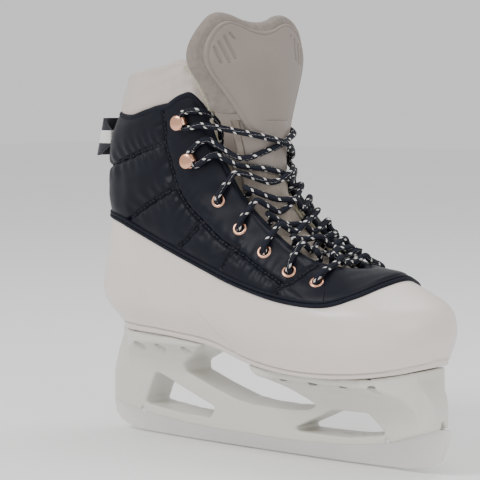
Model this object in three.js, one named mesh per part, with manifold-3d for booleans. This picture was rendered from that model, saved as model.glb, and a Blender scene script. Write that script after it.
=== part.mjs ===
// A recreational ice skate for one foot: a moulded cup shell with a quilted ankle upper,
// a padded liner and tongue, laces over eyelets and speed hooks, and a steel runner in a
// two-tower holder. Millimetres. +X points to the toe, +Z up, and Y = 0 is the runner's
// mid-plane. Z = 0 is the ice.
import * as THREE from "three";
import { mergeVertices } from "three/addons/utils/BufferGeometryUtils.js";
import Module from "manifold-3d";

const wasm = await Module();
wasm.setup();

// ---------------------------------------------------------------- driving dimensions
const CENTRE_X = 4.85; // moves the skate so that its bounding box is centred on X = 0
const GAP = 0.3; // clearance between pieces that touch
const RUNNER_THICKNESS = 3.2;
const TANG_HEIGHT = 4.5; // how far the runner reaches up into the holder
const HOLDER_HALF_WIDTH = 13;
const SHELL_WALL = 3;
const SHELL_FLOOR = 3;
const UPPER_THICKNESS = 3.5;
const LINER_THICKNESS = 2.6;
const COLLAR_THICKNESS = 6;
const LACE_RADIUS = 2;
const EYELET_BORE = 2.6;
const EYELET_RADIUS = 4.5;
const EYELET_HOLE = 3.7;
const EYELET_SEAT = 0.9; // the flange stands clear of the curved upper
const RIVET_RADIUS = 2.2;
const RIVET_HEAD_RADIUS = 3.4;
const PIN_RADIUS = 1.6;
const TONGUE_THICKNESS = 7;

// Half outlines of the boot's outer face, from the heel's centre (station 0) round one side
// to the toe's centre (station 10), as [x, y, z]. The other side is the mirror image.
const SOLE_EDGE = [
  [-121, 0, 80], [-113, 20, 80], [-92, 31, 79.5], [-60, 32, 77.5], [-23, 33, 74],
  [12, 37, 65.5], [50, 43, 62], [84, 42, 62.5], [112, 34, 65.5], [131, 17, 70], [137, 0, 73],
];
const BULGE = [
  [-134, 0, 99], [-123, 27, 98], [-95, 39, 96], [-60, 39.5, 94], [-23, 41, 90],
  [12, 45, 83], [50, 49.5, 80], [86, 48, 80], [117, 39, 83], [134, 20, 87], [139.5, 0, 89],
];
const WAIST = [
  [-133, 0, 122], [-123, 25, 121], [-95, 39, 119], [-58, 40, 115], [-21, 43, 109],
  [14, 47, 100], [50, 50, 95], [84, 48, 96], [112, 38, 100], [128, 20, 103], [134, 0, 105],
];
const TRIM_LINE = [
  [-127, 0, 154], [-115, 27, 152.5], [-92, 40, 148.5], [-54, 43, 135], [-20, 45, 123.5],
  [10, 46.5, 114], [45, 47, 106.5], [76, 44.5, 104.5], [94, 35, 110], [103, 17, 116.5],
  [107, 0, 119.5],
];
const ANKLE = [
  [-127.5, 0, 172], [-115, 27, 171], [-90, 38.5, 168], [-50, 41.5, 158], [-14, 42, 146],
  [15, 42, 130], [46, 41, 116.5], [71, 36, 113.5], [87, 26, 117.5], [97.5, 13, 121],
  [101, 0, 122.5],
];
const INSTEP = [
  [-128.5, 0, 196], [-117, 25, 196], [-92, 36.5, 195], [-57, 39, 192], [-29, 37, 180],
  [1, 34, 158], [35.5, 32, 134], [60, 29, 122.5], [78, 20.5, 121.5], [88, 10, 123],
  [91, 0, 124],
];
const LACING_EDGE = [
  [-121, 0, 221.5], [-112, 22, 221.5], [-92, 34, 222.5], [-66, 38, 230.5], [-39, 36.5, 229],
  [-23.5, 31.5, 202], [2, 28.5, 166.5], [32, 25.5, 140.5], [53.5, 22, 129], [71, 12.5, 125],
  [78, 0, 124],
];
const COLLAR_TOP = [
  [-117, 0, 246], [-108, 22, 246], [-88, 34, 248], [-64, 38, 250.5], [-41, 36.5, 252],
  [-18, 30, 216], [8, 25.5, 171], [37, 22.5, 145.5], [56, 19, 133], [69, 10.5, 128],
  [74, 0, 127],
];

// The outsole plate's underside along X, as [x, z].
const OUTSOLE_UNDERSIDE = [
  [-125, 75.6], [-105, 75], [-69, 74], [-30, 70.8], [-14, 67.6], [7, 62.6], [25, 60],
  [48, 58.8], [71, 58.7], [98, 60.4], [121, 63.8], [140, 68.5],
];

// The lower edge of the holder along the runner, as [x, z].
const RUNNER_SEAM = [
  [-137, 23], [-113, 17.7], [-63, 12.4], [-16, 11], [26, 10.6], [51, 11.6], [78, 13.4],
  [108, 18.7], [140, 29.6],
];

const EYELETS = [[-12.5, 165], [6, 148], [26, 134.5], [45.5, 123], [65, 117]];
const HOOKS = [[-42, 216], [-35, 190.6]];
const REAR_RIVETS = [-95, -76, -53];
const FRONT_RIVETS = [36, 59, 83, 105];
const REAR_RIVET_Y = 22;
const FRONT_RIVET_Y = 29;

// ---------------------------------------------------------------- solids and materials
const v3 = (x, y, z) => new THREE.Vector3(x, y, z);

function toSolid(geometry) {
  const bare = geometry.clone();
  bare.deleteAttribute("normal");
  bare.deleteAttribute("uv");
  const merged = mergeVertices(bare, 1e-4);
  return new wasm.Manifold(
    new wasm.Mesh({
      numProp: 3,
      vertProperties: merged.attributes.position.array,
      triVerts: new Uint32Array(merged.index.array),
    }),
  );
}

function toGeometry(solid) {
  const mesh = solid.getMesh();
  const geometry = new THREE.BufferGeometry();
  geometry.setAttribute("position", new THREE.BufferAttribute(mesh.vertProperties, 3));
  geometry.setIndex(new THREE.BufferAttribute(mesh.triVerts, 1));
  geometry.computeVertexNormals();
  return geometry;
}

const COLOURS = {
  shell: [0xe8dfd9, 0.42, 0],
  holder: [0xe4e0db, 0.38, 0],
  outsole: [0xddd8d2, 0.55, 0],
  steel: [0xd9d6d4, 0.22, 1],
  rivet: [0x4a4644, 0.5, 0.8],
  navy: [0x23263a, 0.5, 0],
  binding: [0x1a1d2b, 0.7, 0],
  leatherette: [0xe2dad0, 0.6, 0],
  board: [0x8a8178, 0.9, 0],
  foam: [0x55565c, 0.9, 0],
  felt: [0xb9b0a8, 0.95, 0],
  greige: [0xa59b94, 0.55, 0],
  gusset: [0xb3a98d, 0.8, 0],
  rose_gold: [0xd39b7d, 0.25, 1],
  lace: [0x14161f, 0.8, 0],
};

const skate = new THREE.Group();
skate.position.x = CENTRE_X;

function addMesh(name, shape, finish) {
  const [color, roughness, metalness] = COLOURS[finish];
  const geometry = shape.isBufferGeometry ? shape : toGeometry(shape);
  const mesh = new THREE.Mesh(
    geometry,
    new THREE.MeshStandardMaterial({ color, roughness, metalness }),
  );
  mesh.name = name;
  skate.add(mesh);
  return mesh;
}

// ---------------------------------------------------------------- curves
function catmullRom(p0, p1, p2, p3, t) {
  const tt = t * t;
  const ttt = tt * t;
  return 0.5 * (2 * p1 + (p2 - p0) * t + (2 * p0 - 5 * p1 + 4 * p2 - p3) * tt
    + (3 * p1 - p0 - 3 * p2 + p3) * ttt);
}

// Height along a hand-drawn profile of [x, z] points.
function heightAt(profile, x) {
  const last = profile.length - 1;
  if (x <= profile[0][0]) return profile[0][1];
  if (x >= profile[last][0]) return profile[last][1];
  const i = profile.findIndex((p) => p[0] > x) - 1;
  const t = (x - profile[i][0]) / (profile[i + 1][0] - profile[i][0]);
  const at = (k) => profile[Math.min(last, Math.max(0, k))][1];
  return catmullRom(at(i - 1), at(i), at(i + 1), at(i + 2), t);
}

// ---------------------------------------------------------------- the boot's surface
// A closed loop of 20 stations from a half outline: heel, +Y side, toe, -Y side.
function wholeLoop(half) {
  const points = half.map(([x, y, z]) => v3(x, y, z));
  const mirrored = half.slice(1, -1).reverse().map(([x, y, z]) => v3(x, -y, z));
  return points.concat(mirrored);
}

const STATIONS = 20;
const TOE = STATIONS / 2;

// A smooth surface through rows of stations: s runs round the boot, t up it.
function bootSurface(halfRows) {
  const rows = halfRows.map(wholeLoop);
  const around = (row, s) => {
    const i = Math.floor(s);
    const p = [-1, 0, 1, 2].map((k) => row[(((i + k) % STATIONS) + STATIONS) % STATIONS]);
    return v3(...["x", "y", "z"].map((a) => catmullRom(p[0][a], p[1][a], p[2][a], p[3][a], s - i)));
  };
  const point = (s, t) => {
    const last = rows.length - 1;
    const i = Math.min(last - 1, Math.max(0, Math.floor(t)));
    const b = around(rows[i], s);
    const c = around(rows[i + 1], s);
    const a = i > 0 ? around(rows[i - 1], s) : b.clone().multiplyScalar(2).sub(c);
    const d = i + 2 <= last ? around(rows[i + 2], s) : c.clone().multiplyScalar(2).sub(b);
    return v3(...["x", "y", "z"].map((k) => catmullRom(a[k], b[k], c[k], d[k], t - i)));
  };
  const normal = (s, t) => {
    const up = point(s, t + 0.02).sub(point(s, t - 0.02));
    const along = point(s + 0.02, t).sub(point(s - 0.02, t));
    return up.cross(along).normalize();
  };
  return { point, normal, last: rows.length - 1 };
}

function steps(from, to, count) {
  return Array.from({ length: count + 1 }, (_, i) => from + ((to - from) * i) / count);
}

// ---------------------------------------------------------------- solids from grids
class Facets {
  constructor() {
    this.positions = [];
  }
  triangle(a, b, c) {
    for (const p of [a, b, c]) this.positions.push(p.x, p.y, p.z);
  }
  quad(a, b, c, d) {
    this.triangle(a, b, c);
    this.triangle(a, c, d);
  }
  // A grid of rows, facing the side where rows run up and points run to the right.
  grid(rows, closed, flip = false) {
    for (let t = 0; t + 1 < rows.length; t++) {
      const count = rows[t].length;
      for (let s = 0; s < (closed ? count : count - 1); s++) {
        const n = (s + 1) % count;
        const [a, b, c, d] = [rows[t][s], rows[t][n], rows[t + 1][n], rows[t + 1][s]];
        if (flip) this.quad(a, d, c, b);
        else this.quad(a, b, c, d);
      }
    }
  }
  // Closes a mirrored loop with straight strips from side to side, facing down.
  strips(loop, flip = false) {
    const n = loop.length;
    for (let i = 0; i < n / 2; i++) {
      const corners = [loop[i], loop[i + 1], loop[(n - i - 1) % n], loop[(n - i) % n]];
      const kept = corners.filter((p, k) => corners.indexOf(p) === k);
      if (flip) kept.reverse();
      this.triangle(kept[0], kept[1], kept[2]);
      if (kept.length === 4) this.triangle(kept[0], kept[2], kept[3]);
    }
  }
  geometry() {
    const geometry = new THREE.BufferGeometry();
    geometry.setAttribute("position", new THREE.Float32BufferAttribute(this.positions, 3));
    return geometry;
  }
  solid() {
    return toSolid(this.geometry());
  }
}

// A wall between an outer and an inner grid. Stations run heel, +Y side, toe, -Y side, so
// seen from outside they run to the left.
function wallSolid(outer, inner, closed) {
  const facets = new Facets();
  const top = outer.length - 1;
  facets.grid(outer, closed, true);
  facets.grid(inner, closed);
  facets.grid([outer[0], inner[0]], closed);
  facets.grid([outer[top], inner[top]], closed, true);
  if (!closed) {
    const end = outer[0].length - 1;
    facets.grid([outer.map((row) => row[0]), inner.map((row) => row[0])], false, true);
    facets.grid([outer.map((row) => row[end]), inner.map((row) => row[end])], false);
  }
  return facets.solid();
}

// A cup: a closed wall with a floor under the inner loop and another under the outer one.
function cupSolid(outer, inner) {
  const facets = new Facets();
  const top = outer.length - 1;
  facets.grid(outer, true, true);
  facets.grid(inner, true);
  facets.grid([outer[top], inner[top]], true, true);
  facets.strips(outer[0]);
  facets.strips(inner[0], true);
  return facets.solid();
}

// A plate with a mirrored outline in plan, between two heights that depend on X.
function plateSolid(outline, bottomAt, topAt) {
  const lower = outline.map((p) => v3(p.x, p.y, bottomAt(p.x)));
  const upper = outline.map((p) => v3(p.x, p.y, topAt(p.x)));
  const facets = new Facets();
  facets.grid([lower, upper], true, true);
  facets.strips(lower);
  facets.strips(upper, true);
  return facets.solid();
}

function extrudeAlongY(points, halfWidth) {
  const shape = new THREE.Shape(points.map(([x, z]) => new THREE.Vector2(x, z)));
  const geometry = new THREE.ExtrudeGeometry(shape, { depth: 2 * halfWidth, bevelEnabled: false });
  geometry.translate(0, 0, -halfWidth);
  geometry.rotateX(Math.PI / 2);
  return toSolid(geometry);
}

function cylinder(radius, from, to, sides = 8) {
  const axis = to.clone().sub(from);
  const geometry = new THREE.CylinderGeometry(radius, radius, axis.length(), sides);
  const turn = new THREE.Quaternion().setFromUnitVectors(v3(0, 1, 0), axis.normalize());
  geometry.applyQuaternion(turn);
  geometry.translate(...from.clone().add(to).multiplyScalar(0.5).toArray());
  return toSolid(geometry);
}

// A round piece turned from a profile of [radius, height], with +Z along the given direction.
function turned(profile, centre, direction, sides = 12) {
  const geometry = new THREE.LatheGeometry(
    profile.map(([r, h]) => new THREE.Vector2(r, h)),
    sides,
  );
  geometry.applyQuaternion(new THREE.Quaternion().setFromUnitVectors(v3(0, 1, 0), direction));
  geometry.translate(centre.x, centre.y, centre.z);
  return toSolid(geometry);
}

// ---------------------------------------------------------------- the boot in numbers
const surface = bootSurface([
  SOLE_EDGE, BULGE, WAIST, TRIM_LINE, ANKLE, INSTEP, LACING_EDGE, COLLAR_TOP,
]);
const TRIM_LEVEL = 3; // the rows' places in the surface
const EDGE_LEVEL = 6;
const COLLAR_LEVEL = 7;
const halfRing = [0, 0.5, 1, 1.5, 2, 3, 4, 4.5, 5, 5.5, 6, 6.5, 7, 8, 8.5, 9, 9.5, 10];
const ringStations = [
  ...halfRing,
  ...halfRing.slice(1, -1).reverse().map((s) => STATIONS - s),
];

function insetOutline(distance) {
  const loop = ringStations.map((s) => surface.point(s, 0));
  return loop.map((p, i) => {
    const before = loop[(i + loop.length - 1) % loop.length];
    const after = loop[(i + 1) % loop.length];
    const outward = v3(before.y - after.y, after.x - before.x, 0).normalize();
    return p.clone().addScaledVector(outward, -distance);
  });
}

// Points at a distance out of the boot's surface.
function offsetGrid(stations, levels, distance, levelAt = (s, t) => t) {
  const at = typeof distance === "function" ? distance : () => distance;
  return levels.map((t) =>
    stations.map((s) => {
      const level = levelAt(s, t);
      const point = surface.point(s, level);
      return point.addScaledVector(surface.normal(s, level), at(s, t));
    }),
  );
}

const soleProfile = SOLE_EDGE.map(([x, , z]) => [x, z]);
const soleAt = (x) => heightAt(soleProfile, x);

// ---------------------------------------------------------------- runner and holder
const seamPoints = steps(-137, 140, 16).map((x) => [x, heightAt(RUNNER_SEAM, x)]);

function runnerOutline() {
  const edge = [
    [-138, 18.6], [-136.5, 12], [-131.7, 6.2], [-123, 2.9], [-112.5, 1.5], [-60, 0.2], [0, 0],
    [60, 0.2], [112, 1.5], [126.8, 3.4], [136.6, 8.6], [141.3, 20.6], [141.8, 28.5],
  ];
  const tang = seamPoints.slice().reverse().filter(([x]) => Math.abs(x) < 134);
  return edge.concat(tang.map(([x, z]) => [x, z + TANG_HEIGHT]), [[-137, 22.5]]);
}

function holderOutline() {
  const rear = [[-135, 24], [-134.5, 30], [-125, 55], [-119.5, 68]];
  const flangeTop = (from, to, count) =>
    steps(from, to, count).map((x) => [x, heightAt(OUTSOLE_UNDERSIDE, x) - 2 * GAP]);
  const rearTower = flangeTop(-119, -34, 6);
  const gap = [
    [-36, 68], [-48, 62], [-62, 53], [-60.5, 47.5], [-38, 39.5], [-16, 33], [0, 31.2],
    [20, 31], [42, 32.5], [50, 36.5], [25, 50], [12, 57],
  ];
  const frontTower = flangeTop(9, 128, 8);
  const nose = [[128, 60], [131, 53], [139.5, 36], [139.5, 31]];
  return [...rear, ...rearTower, ...gap, ...frontTower, ...nose, ...seamPoints.slice().reverse()];
}

const REAR_WINDOW = [[-99, 22.5], [-89.5, 44], [-85, 44], [-36, 26], [-40, 18.5], [-70, 19.5]];
const FRONT_WINDOW = [[33, 17.5], [31, 19.5], [63, 34.5], [90, 35.5], [104, 23], [75, 18.5]];

// The holder is narrow along the runner and flares to a flange under the sole.
function flareSolid(fromX, toX, profile) {
  const right = profile.map(([y, z]) => new THREE.Vector2(y, z));
  const left = profile.slice().reverse().map(([y, z]) => new THREE.Vector2(-y, z));
  const geometry = new THREE.ExtrudeGeometry(new THREE.Shape([...right, ...left]), {
    depth: toX - fromX,
    bevelEnabled: false,
  });
  const basis = new THREE.Matrix4().makeBasis(v3(0, 1, 0), v3(0, 0, 1), v3(1, 0, 0));
  geometry.applyMatrix4(basis);
  geometry.translate(fromX, 0, 0);
  return toSolid(geometry);
}

// The holder's plan along the runner, with rounded ends, as [x, half width].
const HOLDER_PLAN = [
  [-133, 3], [-132, 7.5], [-128.5, 11.5], [-123, HOLDER_HALF_WIDTH], [126, HOLDER_HALF_WIDTH],
  [133, 11], [136.5, 7.5], [138, 3],
];

function prismAlongZ(outline, from, to) {
  const shape = new THREE.Shape(outline.map(([x, y]) => new THREE.Vector2(x, y)));
  const geometry = new THREE.ExtrudeGeometry(shape, { depth: to - from, bevelEnabled: false });
  geometry.translate(0, 0, from);
  return toSolid(geometry);
}

const REAR_FLARE = [
  [HOLDER_HALF_WIDTH, 0], [HOLDER_HALF_WIDTH, 46], [15.5, 54], [20, 61], [26, 66], [29.5, 68.5],
  [29.5, 90],
];
const FRONT_FLARE = [
  [HOLDER_HALF_WIDTH, 0], [HOLDER_HALF_WIDTH, 32], [15.5, 40], [21, 47], [29, 52.3],
  [34.5, 54.5], [34.5, 90],
];
const FLARE_MEETS = -20;

const rivetSpots = [
  ...REAR_RIVETS.map((x, i) => ({ name: `rear_${i + 1}`, x, y: REAR_RIVET_Y })),
  ...FRONT_RIVETS.map((x, i) => ({ name: `front_${i + 1}`, x, y: FRONT_RIVET_Y })),
].flatMap(({ name, x, y }) => [
  { name: `rivet_left_${name}`, x, y, underside: 0 },
  { name: `rivet_right_${name}`, x, y: -y, underside: 0 },
]);
for (const spot of rivetSpots) {
  spot.underside = heightAt(OUTSOLE_UNDERSIDE, spot.x) - (spot.x < 0 ? 6 : 5);
}

const RIVET_TOP = 6; // above the outsole's underside, in the shell's floor
const RECESS_DEPTH = 3;

function rivetClearance(solid) {
  return rivetSpots.reduce((cut, { x, y, underside }) => {
    const top = heightAt(OUTSOLE_UNDERSIDE, x) + RIVET_TOP + GAP;
    const bore = cylinder(RIVET_RADIUS + GAP, v3(x, y, underside - 9), v3(x, y, top));
    const recess = cylinder(
      RIVET_HEAD_RADIUS + 0.6,
      v3(x, y, underside - 9),
      v3(x, y, underside + 0.5),
    );
    return cut.subtract(bore).subtract(recess);
  }, solid);
}

const PINS = [["pin_rear", -101], ["pin_front", 104]].map(([name, x]) => ({
  name,
  x,
  z: heightAt(RUNNER_SEAM, x) + 1.6,
}));

function pinBore(solid, radius, reach) {
  return PINS.reduce(
    (cut, { x, z }) => cut.subtract(cylinder(radius, v3(x, -reach, z), v3(x, reach, z))),
    solid,
  );
}

const runnerSlot = extrudeAlongY(
  [
    [-150, -5], [150, -5], [150, 40],
    ...seamPoints.slice().reverse().map(([x, z]) => [x, z + TANG_HEIGHT + 2 * GAP]),
    [-150, 30],
  ],
  RUNNER_THICKNESS / 2 + GAP,
);

function makeHolder() {
  const flare = flareSolid(-150, FLARE_MEETS, REAR_FLARE).add(
    flareSolid(FLARE_MEETS - 1, 150, FRONT_FLARE),
  );
  const other = HOLDER_PLAN.slice().reverse().map(([x, y]) => [x, -y]);
  const column = prismAlongZ([...HOLDER_PLAN, ...other].reverse(), 0, 90);
  const underSole = prismAlongZ(insetOutline(3).map((p) => [p.x, p.y]).reverse(), 0, 90);
  const body = extrudeAlongY(holderOutline(), 60)
    .intersect(flare.intersect(underSole).add(column))
    .subtract(extrudeAlongY(REAR_WINDOW, 60))
    .subtract(extrudeAlongY(FRONT_WINDOW, 60))
    .subtract(runnerSlot);
  return pinBore(rivetClearance(body), PIN_RADIUS + GAP, 30);
}

addMesh("holder", makeHolder(), "holder");
const runner = extrudeAlongY(runnerOutline(), RUNNER_THICKNESS / 2);
addMesh("runner", pinBore(runner, PIN_RADIUS + GAP, 30), "steel");
for (const { name, x, z } of PINS) {
  const reach = HOLDER_HALF_WIDTH - 1.5;
  addMesh(name, cylinder(PIN_RADIUS, v3(x, -reach, z), v3(x, reach, z)), "steel");
}
for (const { name, x, y, underside } of rivetSpots) {
  const length = heightAt(OUTSOLE_UNDERSIDE, x) + RIVET_TOP - underside;
  const profile = [
    [0, 0], [RIVET_HEAD_RADIUS, 0], [RIVET_HEAD_RADIUS - 0.8, -RECESS_DEPTH / 2],
    [0, -RECESS_DEPTH / 2 - 0.4],
  ];
  const head = [profile[3], profile[2], profile[1]];
  const stem = [[RIVET_RADIUS, 0.2], [RIVET_RADIUS, length], [0, length]];
  addMesh(name, turned([...head, ...stem], v3(x, y, underside), v3(0, 0, 1), 8), "rivet");
}

// ---------------------------------------------------------------- sole and shell
const outsole = plateSolid(
  insetOutline(1.5),
  (x) => heightAt(OUTSOLE_UNDERSIDE, x),
  (x) => soleAt(x) - 0.6,
);
addMesh("outsole_plate", rivetClearance(outsole), "outsole");

const shellLevels = [0, 0.42, 1, 1.7, 2.4, TRIM_LEVEL];
const shellOuter = offsetGrid(ringStations, shellLevels, 0);
const shellInner = offsetGrid(ringStations, shellLevels, -SHELL_WALL);
shellInner[0] = insetOutline(SHELL_WALL).map((p) => v3(p.x, p.y, soleAt(p.x) + SHELL_FLOOR));
addMesh("shell", rivetClearance(cupSolid(shellOuter, shellInner)), "shell");

const board = plateSolid(
  insetOutline(6),
  (x) => soleAt(x) + SHELL_FLOOR + 0.8,
  (x) => soleAt(x) + SHELL_FLOOR + 2.6,
);
addMesh("midsole_board", board, "board");
const footbed = plateSolid(
  insetOutline(9),
  (x) => soleAt(x) + SHELL_FLOOR + 3.2,
  (x) => soleAt(x) + SHELL_FLOOR + 7.2,
);
addMesh("footbed", footbed, "foam");

// ---------------------------------------------------------------- quilted upper
const VAMP_STATION = 7.1; // where the side quarters end and the vamp begins
const upperLevels = [TRIM_LEVEL + 0.1, 3.7, 4.35, 5, 5.5, EDGE_LEVEL];

// The spot on the upper's -Y side nearest to a height and length.
function spotOnUpper([x, z]) {
  let best = { error: Infinity };
  for (const s of steps(TOE, STATIONS, 240)) {
    for (const t of steps(TRIM_LEVEL + 0.3, EDGE_LEVEL, 90)) {
      const p = surface.point(s, t);
      const error = (p.x - x) ** 2 + (p.z - z) ** 2;
      if (error < best.error) best = { error, s, t, p };
    }
  }
  return { p: best.p, out: surface.normal(best.s, best.t) };
}

// Each spot's own directions: out of the surface, up along the row of eyelets and hooks, and
// in towards the tongue.
function withDirections(spots) {
  return spots.map(({ p, out }, i) => {
    const after = spots[Math.min(spots.length - 1, i + 1)].p;
    const before = spots[Math.max(0, i - 1)].p;
    const along = after.clone().sub(before).normalize();
    const up = along.addScaledVector(out, -along.dot(out)).normalize();
    const inward = up.clone().cross(out).normalize();
    return { p, out, up, inward, edgeAt: lacingEdgeFrom(p, out, up, inward) };
  });
}

// Gives, for a distance along the edge from a spot, how far the lacing edge lies towards the
// tongue and how far outward.
function lacingEdgeFrom(p, out, up, inward) {
  const offsets = steps(TOE, STATIONS, 600).map((s) => surface.point(s, EDGE_LEVEL).sub(p));
  const across = offsets.filter((d) => d.dot(inward) > 0);
  return (along) => {
    const miss = (d) => Math.abs(d.dot(up) - along);
    const nearest = across.reduce((best, d) => (miss(d) < miss(best) ? d : best));
    return [nearest.dot(inward), nearest.dot(out)];
  };
}

const mirror = (v) => v3(v.x, -v.y, v.z);
const mirrorSpot = ({ p, out, up, inward, edgeAt }) => ({
  edgeAt,
  p: mirror(p),
  out: mirror(out),
  up: mirror(up),
  inward: mirror(inward),
});
// From the eyelet nearest the toe up to the top hook.
const row = [...EYELETS.slice().reverse(), ...HOOKS.slice().reverse()];
const spotsRight = withDirections(row.map(spotOnUpper));
const spotsLeft = spotsRight.map(mirrorSpot);
const eyeletsRight = spotsRight.slice(0, EYELETS.length);
const eyeletsLeft = spotsLeft.slice(0, EYELETS.length);

function local({ p, out, up, inward }, towardTongue, along, outward) {
  return p
    .clone()
    .addScaledVector(inward, towardTongue)
    .addScaledVector(up, along)
    .addScaledVector(out, outward);
}

function eyeletHoles(solid, radius) {
  return [...eyeletsRight, ...eyeletsLeft].reduce(
    (cut, spot) => cut.subtract(cylinder(radius, local(spot, 0, 0, -8), local(spot, 0, 0, 6), 8)),
    solid,
  );
}

function upperPiece(from, to) {
  const between = ringStations.filter((s) => s > from + 0.05 && s < to - 0.05);
  const stations = [from, ...between, to];
  const outer = offsetGrid(stations, upperLevels, 0);
  const inner = offsetGrid(stations, upperLevels, -UPPER_THICKNESS);
  return eyeletHoles(wallSolid(outer, inner, false), EYELET_HOLE);
}

const seam = 0.02;
addMesh("quarter_left", upperPiece(seam, VAMP_STATION - seam), "navy");
addMesh("quarter_right", upperPiece(STATIONS - VAMP_STATION + seam, STATIONS - seam), "navy");
addMesh("vamp", upperPiece(VAMP_STATION + seam, STATIONS - VAMP_STATION - seam), "navy");

const trimLevels = [TRIM_LEVEL - 0.07, TRIM_LEVEL + 0.16];
const trimBinding = wallSolid(
  offsetGrid(ringStations, trimLevels, 2),
  offsetGrid(ringStations, trimLevels, 2 * GAP),
  true,
);
addMesh("trim_binding", trimBinding, "binding");

// A tube with one ring at each of the points.
class RingPath extends THREE.Curve {
  constructor(points, closed) {
    super();
    this.points = closed ? [...points, points[0]] : points;
    this.smooth = new THREE.CatmullRomCurve3(points, closed, "centripetal");
  }
  getPoint(u) {
    return this.smooth.getPoint(Math.min(1, u));
  }
  getPointAt(u) {
    return this.getPoint(u);
  }
  getTangentAt(u) {
    return this.smooth.getTangent(u);
  }
}

function tubeAlong(points, radius, { closed = false, sides = 6 } = {}) {
  const ring = steps(0, 2 * Math.PI, sides).slice(0, -1);
  const section = new THREE.Shape(
    ring.map((a) => new THREE.Vector2(radius * Math.cos(a), radius * Math.sin(a))),
  );
  const path = new RingPath(points, closed);
  const count = closed ? points.length : points.length - 1;
  return toSolid(new THREE.ExtrudeGeometry(section, { extrudePath: path, steps: count }));
}

// ---------------------------------------------------------------- liner and collar
const LINER_GAP = 1.3;
const THROAT_LINER = 1.2; // the liner is only a thin facing along the throat
const linerLevels = [0.42, 1, 1.7, 2.4, 3.1, 3.7, 4.35, 5, 5.5, EDGE_LEVEL, 6.5, COLLAR_LEVEL];
const isThroat = (s) => Math.abs(s - TOE) < 5.6;
const linerLevel = (s, t) => (isThroat(s) && t > EDGE_LEVEL ? EDGE_LEVEL + (t - EDGE_LEVEL) / 40 : t);

// The liner is padded where it stands up as the collar.
function linerInner(s, t) {
  const lower = isThroat(s) && t > 4.9 ? THROAT_LINER : LINER_THICKNESS;
  const thickness = !isThroat(s) && t > 4.9 ? COLLAR_THICKNESS : lower;
  return -UPPER_THICKNESS - LINER_GAP - thickness;
}

const liner = wallSolid(
  offsetGrid(ringStations, linerLevels, -UPPER_THICKNESS - LINER_GAP, linerLevel),
  offsetGrid(ringStations, linerLevels, linerInner, linerLevel),
  true,
);
addMesh("liner", eyeletHoles(liner, EYELET_HOLE + 1.6), "leatherette");

// ---------------------------------------------------------------- edge binding
const BINDING_HEIGHT = 2;
const BINDING_SEAT = 0.5; // clear of the upper's edge

// The level that lies a distance in millimetres above the lacing edge.
function levelAbove(s, distance) {
  const edge = surface.point(s, EDGE_LEVEL);
  return EDGE_LEVEL + distance / surface.point(s, COLLAR_LEVEL).distanceTo(edge);
}

const bindingFaces = [0.2, -UPPER_THICKNESS - 0.2].map((offset) =>
  offsetGrid(ringStations, [BINDING_SEAT, BINDING_SEAT + BINDING_HEIGHT], offset, levelAbove),
);
addMesh("edge_binding", wallSolid(...bindingFaces, true), "binding");

// ---------------------------------------------------------------- tongue
// The tongue's front along its middle from the toe end up to the flex line, as [x, z], with
// its half width there and how far its borders lie behind the middle.
const TONGUE_LINE = [
  [82, 114.5, 8, 3], [63, 125, 10.6, 6.4], [46, 132, 18.6, 11.5], [31, 142.5, 20, 12],
  [20, 155.5, 19, 12.5], [12.5, 171, 17.5, 12.5], [8.6, 189, 19.4, 12.5], [7.2, 205, 24, 13],
  [7, 218, 27, 13],
];
const lineCurve = new THREE.CatmullRomCurve3(TONGUE_LINE.map(([x, z]) => v3(x, 0, z)));

function tongueFrame(u) {
  const at = u * (TONGUE_LINE.length - 1);
  const i = Math.min(TONGUE_LINE.length - 2, Math.floor(at));
  const mix = (k) => TONGUE_LINE[i][k] + (TONGUE_LINE[i + 1][k] - TONGUE_LINE[i][k]) * (at - i);
  const tangent = lineCurve.getTangent(u);
  return {
    middle: lineCurve.getPoint(u),
    out: v3(tangent.z, 0, -tangent.x),
    halfWidth: mix(2),
    depth: mix(3),
  };
}

function tonguePoint(u, y, lift = 0) {
  const { middle, out, halfWidth, depth } = tongueFrame(u);
  const behind = depth * (y / halfWidth) ** 2;
  return middle.addScaledVector(out, lift - behind).add(v3(0, y, 0));
}

function tongueSlab(fromShare, toShare, front, back, topShare = 1) {
  const shares = steps(fromShare, toShare, Math.max(2, Math.round(6 * (toShare - fromShare))));
  const rows = (lift) =>
    steps(0, topShare, 8).map((u) =>
      shares.map((w) => tonguePoint(u, -w * tongueFrame(u).halfWidth, lift)),
    );
  return wallSolid(rows(front), rows(back), false);
}

addMesh("tongue_base", tongueSlab(-1, 1, 0, -TONGUE_THICKNESS), "greige");
const GUSSET_FRONT = -TONGUE_THICKNESS - 1.5;
const GUSSET_BACK = GUSSET_FRONT - 1.2;
addMesh("gusset_left", tongueSlab(-1.05, -0.4, GUSSET_FRONT, GUSSET_BACK, 0.8), "gusset");
addMesh("gusset_right", tongueSlab(0.4, 1.05, GUSSET_FRONT, GUSSET_BACK, 0.8), "gusset");

// The cuff above the flex line: [z, x of the front's middle, curvature across].
const CUFF_SECTIONS = [
  [214, 7, 0.0125], [231, 5.8, 0.0084], [244, 4.5, 0.0065], [256, 3, 0.0054],
  [270, -2.5, 0.0036], [282, -7.5, 0.0018], [294, -12, 0.001],
];
const CUFF_OUTLINE = [
  [0, 222], [22, 221.6], [38, 223], [43, 231], [49, 241], [55, 250], [57.5, 257], [57, 264],
  [53.5, 272], [48, 279], [41, 284.5], [33, 287], [25, 286.4], [15, 283.4], [7, 281.9],
  [0, 281.5],
];
const SHIELD_INSET = 6;

function cuffSheet(front, back, zShift = 0) {
  const rows = (lift) =>
    CUFF_SECTIONS.map(([z, x, k]) =>
      steps(64, -64, 8).map((y) => v3(x + lift - k * y * y, y, z + zShift)),
    );
  return wallSolid(rows(front), rows(back), false);
}

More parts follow.
